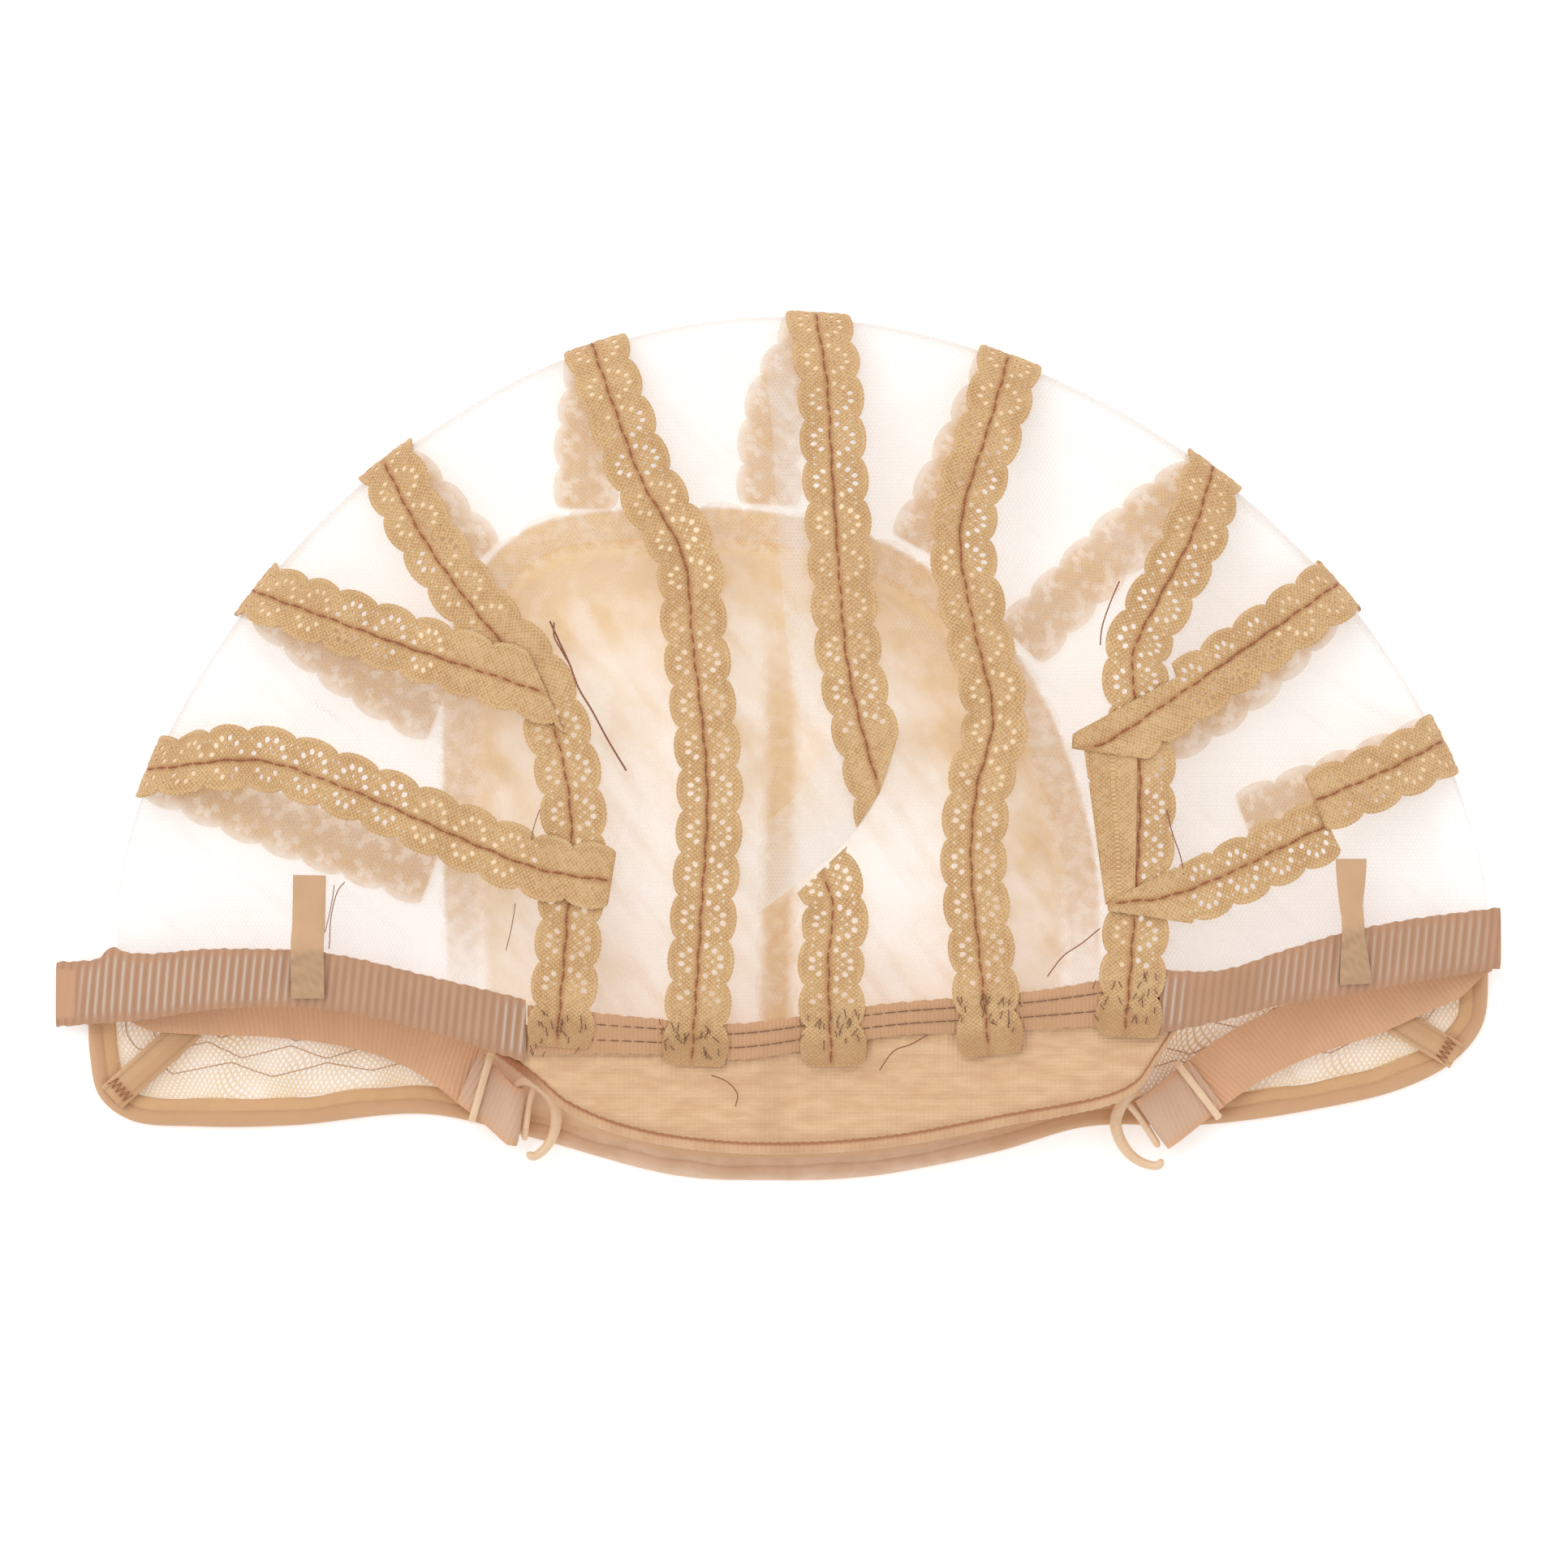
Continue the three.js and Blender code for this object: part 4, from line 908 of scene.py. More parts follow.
def lace_look(name, haze=None):
    """Golden tan lace: mottled threads with painted shade and highlight in the weave, a warm stitch line,
    sewn ends darker, painted light in the eyelets, the lower layer hazy and painted lighter.
    """
    look = Look(name, roughness=0.7, sheen=0.15)
    along, across, relief = look.run()
    place = look.place()
    mottle = look.noise(place, 6.0, 1.0)
    grain = look.noise(look.point(along, across), 0.6, 2.0, 0.65)
    left, right = (look.wave(look.slanted(along, across, turn), 0.62) for turn in (40, -40))
    crossed = look.math("MULTIPLY", left, right)
    weave = look.math("ADD", crossed, grain)
    tan = look.mix(look.spread(mottle, 0.3, 0.7), LACE_DARK, LACE_LIGHT)
    # Painted shade in the hollows of the weave and painted highlight on its threads, where the bump is low
    # and high
    tan = look.mix(look.spread(weave, 0.4, 0.75, 0.6, 0.0), tan, LACE_HOLLOW_SHADE)
    tan = look.mix(look.spread(weave, 0.8, 1.25, 0.0, 0.75), tan, LACE_THREAD_HIGHLIGHT)
    tan = look.mix(look.spread(relief, 0.04, 0.16, 0.0, 0.3), tan, LACE_CORD)
    tan = look.mix(look.spread(look.math("ABSOLUTE", across), 0.2, 1.0, 0.5, 0.0), tan, LACE_SEAM)
    tan = look.mix(look.spread(relief, -SEWN_MARK, 0.0, 0.5, 0.0), tan, LACE_SEWN)
    # Painted light: cream where light shows through the eyelets, on their discs and on the closed eyelets'
    # edges
    tan = look.mix(look.spread(relief, *EYELET_LIGHT_SPAN, 0.0, 0.85), tan, LACE_EYELET_LIGHT)
    look.paint(Base_Color=tan)
    look.bump(crossed, 0.16)
    if haze:
        low = look.spread(look.axis(place, 2), HAZE_LOW, HAZE_HIGH, 1.0, 0.0)
        inner = look.spread(across, -LACE_NARROW, haze.inner - LACE_NARROW, haze.rim, haze.middle)
        outer = look.spread(across, LACE_WIDE - haze.outer, LACE_WIDE, haze.middle, haze.rim)
        rim = look.math("MINIMUM", inner, outer)
        shares = [
            look.spread(look.noise(place, 2.4, 1.0), 0.3, 0.7, 0.7, 1.15),
            look.spread(along, 0.0, haze.end, 0.1, 1.0),
            look.spread(relief, *EYELET_LIGHT_SPAN, 1.0, 0.5),
            look.spread(look.axis(place, 1), HAZE_CROWN_FROM, HAZE_CROWN_TO, 1.0, haze.crown),
        ]
        for share in shares:
            rim = look.math("MULTIPLY", rim, share)
        rim = look.math("MINIMUM", rim, 1.0)
        # Painted light: the lower layer is painted lighter and warmer against the shade it lies in, and
        # faded as haze
        look.paint(
            Base_Color=look.mix(look.math("MULTIPLY", low, 0.85), tan, LACE_HAZE_LIGHT),
            Alpha=look.math("MULTIPLY_ADD", low, look.math("SUBTRACT", rim, 1.0), 1.0),
        )
    return look.material


def thread_look(name, dark, light):
    """Two-ply thread: a twist of light and dark round it."""
    look = Look(name, roughness=0.6, sheen=0.1)
    along, around, _ = look.run()
    twist = look.wave(look.math("ADD", look.math("MULTIPLY", along, 1.4), around), 1.0)
    look.paint(Base_Color=look.mix(twist, dark, light))
    look.bump(twist, 0.05)
    return look.material


def net_look(name, thin_tone, dense_tone, weave):
    """Sheer net: crossing threads with open cells between, denser where the run's third value says."""
    look = Look(name, roughness=0.9, specular=0.1)
    x, y, dense = look.run()
    web = 0.0
    for turn in weave.turns:
        thread = look.math("POWER", look.wave(look.slanted(x, y, turn), weave.cell), THREAD_POWER)
        web = look.math("MAXIMUM", web, thread)
    cloud = look.noise(look.point(x, y), 14.0, 1.0)
    crease = look.point(look.slanted(x, y, 50), look.math("MULTIPLY", look.slanted(x, y, 140), 0.12))
    crease = look.spread(look.noise(crease, 4.0, 1.0), 0.6, 0.7, 0.0, 0.06)
    veil = look.math("MULTIPLY_ADD", web, weave.thick - weave.thin, weave.thin)
    veil = look.math("MULTIPLY_ADD", veil, look.spread(cloud, 0.3, 0.7, 0.8, 1.25), crease)
    look.paint(
        Base_Color=look.mix(dense, thin_tone, dense_tone),
        Alpha=look.math("MINIMUM", look.math("MULTIPLY_ADD", dense, 0.45, veil), 1.0),
    )
    return look.material


def panel_look():
    """Beige lace of the front panel: pale open ground, denser where it is crumpled and flowered."""
    look = Look("front_lace", roughness=0.85, specular=0.1)
    x, y, dense = look.run()
    flat = look.point(x, y)
    cloud = look.noise(flat, 26.0, 2.0, 0.6)
    flower = look.noise(flat, 5.0, 1.0)
    streak = look.point(look.slanted(x, y, 35), look.math("MULTIPLY", look.slanted(x, y, 125), 0.16))
    streak = look.spread(look.noise(streak, 4.4, 1.0), 0.42, 0.72, 0.0, 0.16)
    ground = look.math("ADD", look.spread(cloud, 0.4, 0.7, 0.25, 0.42), streak)
    ground = look.math("MULTIPLY_ADD", dense, 0.6, ground)
    ground = look.math("MULTIPLY", ground, look.spread(flower, 0.3, 0.65, 0.86, 1.08))
    warm = look.mix(flower, *PANEL_WARM)
    look.paint(
        Base_Color=look.mix(look.spread(dense, 0.6, 1.4), warm, PANEL_DENSE),
        Alpha=look.math("MAXIMUM", look.math("MINIMUM", ground, 0.9), 0.03),
    )
    return look.material


def ribbon_look(name, base, groove_shade, pale, pitch, slant=0.0, plain=0.0):
    """Ribbed ribbon: ribs across it with painted shade in their grooves, pale grey where the run's third
    value says, fine weave on top.
    """
    look = Look(name, roughness=0.55, sheen=0.2)
    along, across, weight = look.run()
    leaned = look.math("MULTIPLY_ADD", across, slant, along)
    rib = look.wave(leaned, pitch)
    blotch = look.noise(look.place(), 7.0, 1.0)
    body = look.mix(look.spread(blotch, 0.3, 0.7), base, look_shift(base, 1.08))
    body = look.mix(look.spread(weight, -0.8, -0.2, 0.8, 0.0), body, look_shift(base, 1.22))
    # Painted shade in the grooves between the ribs, where the bump is low, except on the smooth end
    rib_hollow_shade = look.math("MULTIPLY", look.spread(rib, 0.0, 0.6, 0.6, 0.0), look.spread(weight, -0.8, -0.2))
    body = look.mix(rib_hollow_shade, body, groove_shade)
    ridges = look.spread(rib, 0.6, 1.0, plain, 1.0)
    strength = look.math("MULTIPLY", ridges, look.math("MAXIMUM", weight, 0.0))
    look.paint(Base_Color=look.mix(strength, body, pale))
    weave = look.wave(look.math("MULTIPLY", across, 12.0), 0.5)
    look.bump(look.math("MULTIPLY_ADD", weave, 0.3, rib), 0.08)
    return look.material


def knit_look(name, dark, light, seam):
    """Fine stretch knit of the nape panel: tiny columns of loops, with soft crinkles of shade."""
    look = Look(name, roughness=0.75, sheen=0.25)
    x, y, shade = look.run()
    loops = look.math("MULTIPLY", look.wave(x, 0.9), look.wave(y, 0.7))
    crinkle = look.noise(look.point(look.math("MULTIPLY", x, 0.3), y), 2.2, 3.0, 0.6)
    body = look.mix(look.spread(crinkle, 0.32, 0.68), dark, light)
    body = look.mix(look.math("MULTIPLY", loops, 0.3), body, look_shift(light, 1.15))
    # The run's third value mixes in the seam colour: painted shade along the nape panel's edges and the
    # stripe over the front strip, and the binding's seam line and dark left end
    look.paint(Base_Color=look.mix(shade, body, seam))
    look.bump(loops, 0.12)
    return look.material


def tape_look(name, inner, outer):
    """Smooth folded tape: two tones across it and a fine twill."""
    look = Look(name, roughness=0.6, sheen=0.2)
    along, across, dark = look.run()
    wear = look.noise(look.place(), 4.0, 2.0)
    # Painted light: the hem is painted paler towards its middle, where the nape panel shades it, and pinker
    middle = look.spread(look.math("ABSOLUTE", look.axis(look.place(), 0)), 25.0, 60.0, 0.8, 0.0)
    tone = look.mix(look.spread(across, 0.42, 0.58), outer, inner)
    tone = look.mix(middle, tone, TAPE_MIDDLE_LIGHT)
    tone = look.mix(look.spread(wear, 0.35, 0.75, 0.0, 0.35), tone, look_shift(inner, 0.84))
    look.paint(Base_Color=look.mix(dark, tone, look_shift(outer, 0.62)))
    twill = look.wave(look.math("MULTIPLY_ADD", across, 6.0, along), 0.45)
    look.bump(twill, 0.05)
    return look.material


def plastic_look():
    """Pale moulded plastic, slightly cloudy and worn dull in places."""
    look = Look("moulded_plastic", roughness=0.3, specular=0.5)
    cloud = look.noise(look.place(), 3.0, 3.0)
    look.paint(
        Base_Color=look.mix(cloud, *PLASTIC),
        Roughness=look.spread(cloud, 0.3, 0.7, 0.22, 0.42),
    )
    look.bump(look.noise(look.place(), 0.7, 2.0), 0.02)
    return look.material


def floor_look():
    """Plain white floor with a hardly visible grain, lit a little from below."""
    look = Look("floor", roughness=0.9, specular=0.0)
    grain = look.noise(look.place(), 90.0, 0.0)
    look.paint(
        Base_Color=look.mix(grain, *FLOOR_TONES),
        Emission_Color=WHITE,
        Emission_Strength=FLOOR_GLOW,
    )
    return look.material


def scallop(along):
    """How far the lace's edge stands out along one repeat, with round bumps and sharp notches."""
    bump = np.abs(np.cos(math.pi * along / LACE_REPEAT)) ** SCALLOP_ROUND
    return SCALLOP_DEPTH * (2 * bump - 1)


def eyelet_axes(eyelet):
    """Directions out from the flower's middle and round it at an eyelet."""
    out = unit(np.array([eyelet.along, eyelet.across - FLOWER_MIDDLE]))
    return out, np.array([-out[1], out[0]])


def eyelet_outline(eyelet):
    sides = 10 if eyelet.radius > PINHOLE else 6
    angle = math.tau * np.arange(sides)[:, None] / sides
    out, round_about = eyelet_axes(eyelet)
    ring = EYELET_STRETCH * np.cos(angle) * out + np.sin(angle) * round_about
    return eyelet.radius * ring + (eyelet.along, eyelet.across)


def eyelet_edge(flat, eyelet):
    """Distance of flat points from an eyelet's edge, below zero inside it."""
    out, round_about = eyelet_axes(eyelet)
    away = flat - (eyelet.along, eyelet.across)
    return np.hypot(away @ out / EYELET_STRETCH, away @ round_about) - eyelet.radius


def on_eyelet_edge(flat):
    """Whether flat points lie on the edge of one of the larger eyelets."""
    large = [eyelet for eyelet in EYELETS if eyelet.radius > PINHOLE]
    return np.any([np.abs(eyelet_edge(flat, eyelet)) < ON_EDGE for eyelet in large], axis=0)


def lace_grid():
    """Even points inside one repeat, clear of its edges and eyelets."""
    half = LACE_REPEAT / 2
    rows = np.arange(-LACE_NARROW, LACE_WIDE, GRID_PITCH)
    columns = np.arange(-half + GRID_PITCH, half - GRID_PITCH / 2, GRID_PITCH)
    u, v = (axis.ravel() for axis in np.meshgrid(columns, rows))
    margin = RIM_DEPTHS[-1] + GRID_PITCH / 2
    keep = (v < LACE_WIDE + scallop(u) - margin) & (v > -LACE_NARROW - scallop(u) + margin)
    flat = np.column_stack([u, v])
    for eyelet in EYELETS:
        keep &= eyelet_edge(flat, eyelet) > EYELET_CLEAR
    return flat[keep]


def lace_relief(flat):
    """Height of the corded edges and of the rims round the eyelets."""
    u, v = flat.T
    depth = np.minimum(LACE_WIDE + scallop(u) - v, v + LACE_NARROW + scallop(u))
    height = RIM_HEIGHT * bell(depth, RIM_PLACE, RIM_SPREAD)
    for eyelet in EYELETS:
        edge = eyelet_edge(flat, eyelet)
        height = np.maximum(height, EYELET_RIM * bell(edge, 0.0, EYELET_SPREAD))
    return height


def lace_repeat():
    """One flat repeat of the lace: points (along, across), triangles and the places of their eyelets."""
    half = LACE_REPEAT / 2
    along = np.linspace(-half, half, LACE_STEPS + 1)
    high = np.column_stack([along, LACE_WIDE + scallop(along)])
    low = np.column_stack([along, -LACE_NARROW - scallop(along)])
    side = np.linspace(low[0, 1], high[0, 1], LACE_SIDE_STEPS + 1)[1:-1]
    right = np.column_stack([np.full(len(side), half), side])
    left = np.column_stack([np.full(len(side), -half), side])
    loops = [np.vstack([low, right, high[::-1], left[::-1]])]
    loops += [eyelet_outline(eyelet) for eyelet in EYELETS]
    points, edges = [], []
    for loop in loops:
        start = len(points)
        points += loop.tolist()
        edges += [(start + i, start + (i + 1) % len(loop)) for i in range(len(loop))]
    for depth in RIM_DEPTHS:
        points += (high[1:-1] - (0, depth)).tolist()
        points += (low[1:-1] + (0, depth)).tolist()
    points += lace_grid().tolist()
    flat, _, faces, *_ = delaunay_2d_cdt(points, edges, [], 0, 1e-5)
    flat, faces = np.array([tuple(p) for p in flat]), np.array(faces)
    middle = flat[faces].mean(axis=1)
    edge = scallop(middle[:, 0])
    inside = (middle[:, 1] < LACE_WIDE + edge) & (middle[:, 1] > -LACE_NARROW - edge)
    eyelet_at = np.full(len(faces), np.nan)
    for eyelet in EYELETS:
        eyelet_at[eyelet_edge(middle, eyelet) < -0.05 * eyelet.radius] = eyelet.along
    return flat, faces[inside], eyelet_at[inside]


def repeats(length):
    """Middles of the repeats that fill a length, and the stretch that makes them fit."""
    count = max(1, round(length / LACE_REPEAT))
    return (np.arange(count) + 0.5) * LACE_REPEAT, length / (count * LACE_REPEAT)


def lace_length(flat, faces, eyelet_at, length, closed):
    """Repeats laid end to end, with eyelets open outside the closed spans: points, triangles, relief and
    which points lie on an eyelet's edge."""
    starts, stretch = repeats(length)
    points = np.vstack([flat + (start, 0) for start in starts])
    places = (starts[:, None] + eyelet_at) * stretch
    opened = np.isfinite(places)
    for start, end in closed:
        opened &= (places < start) | (places > end)
    count = len(starts)
    triangles = np.vstack([faces[~opened[i]] + i * len(flat) for i in range(count)])
    relief, on_edge = np.tile(lace_relief(flat), count), np.tile(on_eyelet_edge(flat), count)
    _, first, welded = np.unique(np.round(points, 3), axis=0, return_index=True, return_inverse=True)
    points = points[first] * (stretch, 1)
    return points, welded.ravel()[triangles], relief[first], on_edge[first]


def ends_on_nape(strip):
    return strip.upper[-1][1] < NAPE_BAND[0].top


class StripRun:
    """A lace strip's way from its lower end round the crown fold to its mouth end."""

    STEP = 0.1

    def __init__(self, strip):
        start = slide_in([strip.upper[0]])[0] if strip.lower else strip.upper[0]
        self.raised = strip.raised
        self.top = PlanCurve([start, *strip.upper[1:]])
        self.under = PlanCurve([start, *strip.lower]) if strip.lower else None
        back = self.under.length if self.under else 0.0
        self.signed = np.arange(-back, self.top.length + self.STEP, self.STEP)
        centre = self.lay(self.signed, np.zeros_like(self.signed), LACE_BASE)
        self.lengths = distances_along(centre)
        self.length = self.lengths[-1]
        covered = self.raised if ends_on_nape(strip) else COVERED * self.raised
        fold = np.interp(0.0, self.signed, self.lengths)
        self.closed = [(self.length - max(covered, strip.plain), self.length)]
        self.fold = fold if strip.lower else NO_FOLD
        self.closed.append((NO_FOLD, self.fold))
        if strip.crossed:
            self.closed.append((fold + strip.crossed[0], fold + strip.crossed[1]))
        self.cut_from = self.length - CUT_SPAN if strip.lower else -1.0

    def lay(self, signed, across, lift):
        """Points at a plan distance past the fold (below zero on the lower layer)."""
        lift = np.broadcast_to(lift, len(signed))
        points = np.zeros((len(signed), 3))
        for upper, curve, mask in ((True, self.top, signed >= 0), (False, self.under, signed < 0)):
            if mask.any():
                distance = np.clip(np.abs(signed[mask]), 0, curve.length)
                plan = curve.at(distance)
                turned = left_of(-reach_gradient(plan))
                blend = smoothstep(reach(plan), *SQUARE_SPAN)[:, None] if self.under else 0.0
                side = unit(left_of(curve.direction(distance)) * (1 - blend) + turned * blend)
                climb = self.climb(distance, curve) if upper else 0.0
                points[mask] = on_cap(plan + side * across[mask][:, None], upper, lift[mask] + climb)
        return points

    def climb(self, distance, curve):
        """Extra height where the strip lies on another strip or on a ribbon."""
        if not self.raised:
            return 0.0
        return PRESSED * RIDE * smoothstep(self.raised - (curve.length - distance), -LACE_RAMP, 0)

    def from_end(self, along):
        """Distance to the end that fades out, which lies on the lower layer."""
        return along

    def place(self, length, across, lift):
        return self.lay(np.interp(length, self.lengths, self.signed), across, lift)


class FlatRun:
    """A lace band that lies flat under the lower layer."""

    def __init__(self, points, free_ends=0):
        self.curve = PlanCurve(points)
        self.free_ends = free_ends
        self.length = self.curve.length
        self.closed = [(0.0, self.length)]
        self.fold = NO_FOLD
        self.cut_from = self.length

    def from_end(self, along):
        """Distance to the nearest end that fades out."""
        return np.minimum(along, self.length - along) if self.free_ends == 2 else along

    def place(self, length, across, lift):
        return np.column_stack([self.curve.beside(length, across), np.broadcast_to(lift, len(length))])


def past_cut(points, cut):
    """Distance of points to the left of a cut line, and the plan direction in which it counts."""
    start, end = (np.array([p], float) for p in cut)
    outward = left_of(end - start)[0]
    return (points[:, :2] - start) @ outward, outward


def add_lace(
    shape, unit_lace, run, base=LACE_BASE, narrowing=1.0, cuts=(), sewn_length=UNSEWN, hidden=False
):
    """Closed lace with open eyelets laid along a run and trimmed at its cuts near the end of the run."""
    closed = [(0.0, run.length)] if hidden else run.closed
    flat, triangles, relief, on_edge = lace_length(*unit_lace, run.length, closed)
    along, across = flat[:, 0], flat[:, 1] * narrowing
    sway = waves(LACE_SWAY, along, across)
    top = run.place(along, across, base + LACE_THICK + relief + sway)
    bottom = run.place(along, across, base + sway)
    near_end = along > run.cut_from
    for cut in cuts:
        past, outward = past_cut(top, cut)
        past = np.where(near_end, np.maximum(past, 0), 0)
        triangles = triangles[(past[triangles] <= 0).any(axis=1)]
        for points in (top, bottom):
            points[:, :2] -= past[:, None] * outward
    used, triangles = np.unique(triangles, return_inverse=True)
    triangles = triangles.reshape(-1, 3)
    sewn = SEWN_MARK * smoothstep(along, run.length - sewn_length, run.length - SEWN_FULL * sewn_length)
    seam_side = np.abs(across) + LACE_NARROW / 2 if hidden else across / narrowing
    # Painted light: the edges of the closed eyelets on the lower layer take the cream mark
    eyelet_light = EYELET_LIGHT_MARK * (on_edge & (along < run.fold))
    face = np.column_stack([run.from_end(along), seam_side, relief - sewn + eyelet_light])[used]
    return shape.add_cloth(top[used], bottom[used], triangles, face)


def add_eyelet_light(shape, run):
    """Cream discs in the eyelets of a run just past the crown fold and over the arch: painted light that
    shows through them.
    """
    arch = PlanCurve(ARCH).points
    starts, stretch = repeats(run.length)
    for start in starts:
        for eyelet in EYELETS:
            middle = (start + eyelet.along) * stretch
            along, across = ((eyelet_outline(eyelet) + (start, 0)) * (stretch, 1)).T
            plan = run.place(along, across, LACE_BASE)[0, :2]
            by_fold = middle < run.fold + EYELET_LIGHT_PAST_FOLD
            by_arch = np.linalg.norm(arch - plan, axis=1).min() < EYELET_LIGHT_BY_ARCH
            if any(low <= middle <= high for low, high in run.closed) or not (by_fold or by_arch):
                continue
            top = run.place(along, across, LACE_BASE + EYELET_LIGHT_HEIGHT)
            bottom = run.place(along, across, LACE_BASE)
            fan = np.array([(0, side, side + 1) for side in range(1, len(along) - 1)])
            face = np.tile((middle, eyelet.across, EYELET_LIGHT_MARK), (len(along), 1))
            shape.add_cloth(top, bottom, fan, face)


def add_stitches(shape, run, cuts=(), lift=LACE_BASE + LACE_THICK):
    """Row of stitches along a run, each one bowed up out of the cloth, as far as its cuts."""
    starts = np.arange(0.6, run.length - STITCH, STITCH + STITCH_GAP)
    bow = np.linspace(0, 1, 7)
    for start in starts:
        along = start + STITCH * bow
        sideways = STITCH_SWAY * np.sin(along * 0.9)
        line = run.place(along, sideways, lift - STITCH_SUNK + STITCH_BOW * np.sin(math.pi * bow))
        near_end = start > run.cut_from
        if near_end and any(past_cut(line, cut)[0].max() > -0.2 for cut in cuts):
            continue
        if line[:, 2].min() < HAZE_HIGH:
            continue
        shape.add_tube(line, STITCH_RADIUS * np.sin(math.pi * (0.12 + 0.76 * bow)) ** 0.5)


def fold_line():
    """The crown fold from the left end of the mouth to its right end."""
    steps = np.arange(3) / 3
    left = [(DOME_X - DOME_HALF_WIDTH, y) for y in SEAM_LEFT[1] + 1 + (DOME_Y - SEAM_LEFT[1] - 1) * steps]
    right_steps = steps + 1 / 3
    right = [(DOME_X + DOME_HALF_WIDTH, y) for y in DOME_Y + (SEAM_RIGHT[1] + 1 - DOME_Y) * right_steps]
    angle = np.linspace(math.pi, 0, 61)
    up = np.sin(angle).clip(0) ** (2 / TOP_POWER)
    side = np.sign(np.cos(angle)) * np.abs(np.cos(angle)) ** (2 / SIDE_POWER)
    arc = np.column_stack([DOME_X - DOME_LEAN * up**3 + side * DOME_HALF_WIDTH, DOME_Y + up * DOME_HEIGHT])
    return PlanCurve([*left, *arc.tolist(), *right])


def mouth_edge(x):
    """Upper edge of the mouth, under the edge ribbons."""
    left = table_value(EAR_BAND_LEFT, "top", x)
    right = table_value(EAR_BAND_RIGHT, "top", x)
    middle = table_value(NAPE_BAND, "top", x)
    top = np.where(x < EAR_BAND_LEFT[-1].x, left, np.where(x > EAR_BAND_RIGHT[0].x, right, middle))
    return top - NET_UNDER_BAND


def net_seam(share):
    """Lower edge of the crown net: ear seam, arch round the front panel, ear seam."""
    arch = PlanCurve(ARCH)
    middle = arch.at(arch.length * (share - EAR_SHARE) / (1 - 2 * EAR_SHARE))
    share = share[:, None]
    left = np.array(SEAM_LEFT) + (np.array(ARCH[0]) - SEAM_LEFT) * (share / EAR_SHARE)
    right = np.array(SEAM_RIGHT) + (np.array(ARCH[-1]) - SEAM_RIGHT) * ((1 - share) / EAR_SHARE)
    return np.where(share < EAR_SHARE, left, np.where(share > 1 - EAR_SHARE, right, middle))


def crown_net_shape(columns=170, upper_rows=52, lower_rows=30):
    """The net of both layers as one sheet over the fold, with its creases, pleat and tuck."""
    share = np.linspace(0, 1, columns + 1)
    fold = fold_line()
    edge = fold.at(share * fold.length)
    x = DOME_X - (1 - NET_END_INSET) * DOME_HALF_WIDTH * np.cos(math.pi * share)
    mouth = np.column_stack([x, mouth_edge(x)])
    seam = net_seam(share)
    rows, runs = [], []
    for upper, ends, count in ((True, mouth, upper_rows), (False, seam, lower_rows)):
        ways = np.sin(0.5 * math.pi * np.linspace(0, 1, count + 1))
        for way in ways if upper else ways[::-1]:
            plan = ends + (edge - ends) * way
            free = math.sin(math.pi * min(way, 0.98)) ** 0.5
            wrinkle = free * (waves(NET_WRINKLE, *plan.T) + waves(NET_CRINKLE, *plan.T))
            rows.append(on_cap(plan, upper, NET_LIFT + wrinkle))
            dense = FOLD_DENSE * smoothstep(way, *FOLD_DENSE_SPAN) + EDGE_DENSE * (way < EDGE_DENSE_TO)
            runs.append(np.column_stack([plan, np.full(len(plan), dense)]))
    shape = Shape().add_sheet(rows, runs)
    add_net_fold(shape, PLEAT_LINE, PLEAT_WIDTH, pleat_density)
    add_net_fold(shape, TUCK_LINE, TUCK_WIDTH, tuck_density)
    return shape


def pleat_density(way):
    """Density of the pleat at shares of its width, most in its middle."""
    return 0.5 * np.sin(math.pi * way) ** 0.7


def tuck_density(way):
    """Density of the tuck at shares of its width, most along its fold."""
    return 0.3 * bell(way, 0.0, 0.04) + 0.95 * (1 - way) ** 0.7


def add_net_fold(shape, line, width, density, columns=60, rows=16):
    """Doubled net to the right of a fold line on the upper layer, seen along the line."""
    curve = PlanCurve(line)
    distance = np.linspace(0, curve.length, columns + 1)
    points, runs = [], []
    for way in np.linspace(0, 1, rows + 1):
        plan = curve.beside(distance, -way * width)
        ends = np.sin(math.pi * np.clip(distance / curve.length, 0.04, 0.96)) ** 0.4
        points.append(on_cap(plan, True, NET_LIFT + NET_FOLD_LIFT * (1 - 0.5 * way) * ends))
        runs.append(np.column_stack([plan, density(way) * ends]))
    shape.add_sheet(points, runs)


def hem_distance_at(curve, x):
    """Distance along the hem's lower run at which it passes a place along X."""
    lower_run = (curve.distances > 0.1 * curve.length) & (curve.distances < 0.9 * curve.length)
    return np.interp(x, curve.points[lower_run, 0], curve.distances[lower_run])


def cloudiness(x, y):
    """How much denser the front panel looks at plan points, from its clouds."""
    total = np.zeros_like(x)
    for cloud in CLOUDS:
        total += cloud.amount * bell(x, cloud.x, cloud.wide) * bell(y, cloud.y, cloud.high)
    return total * (1 + waves(CLOUD_WAVES, x, y))


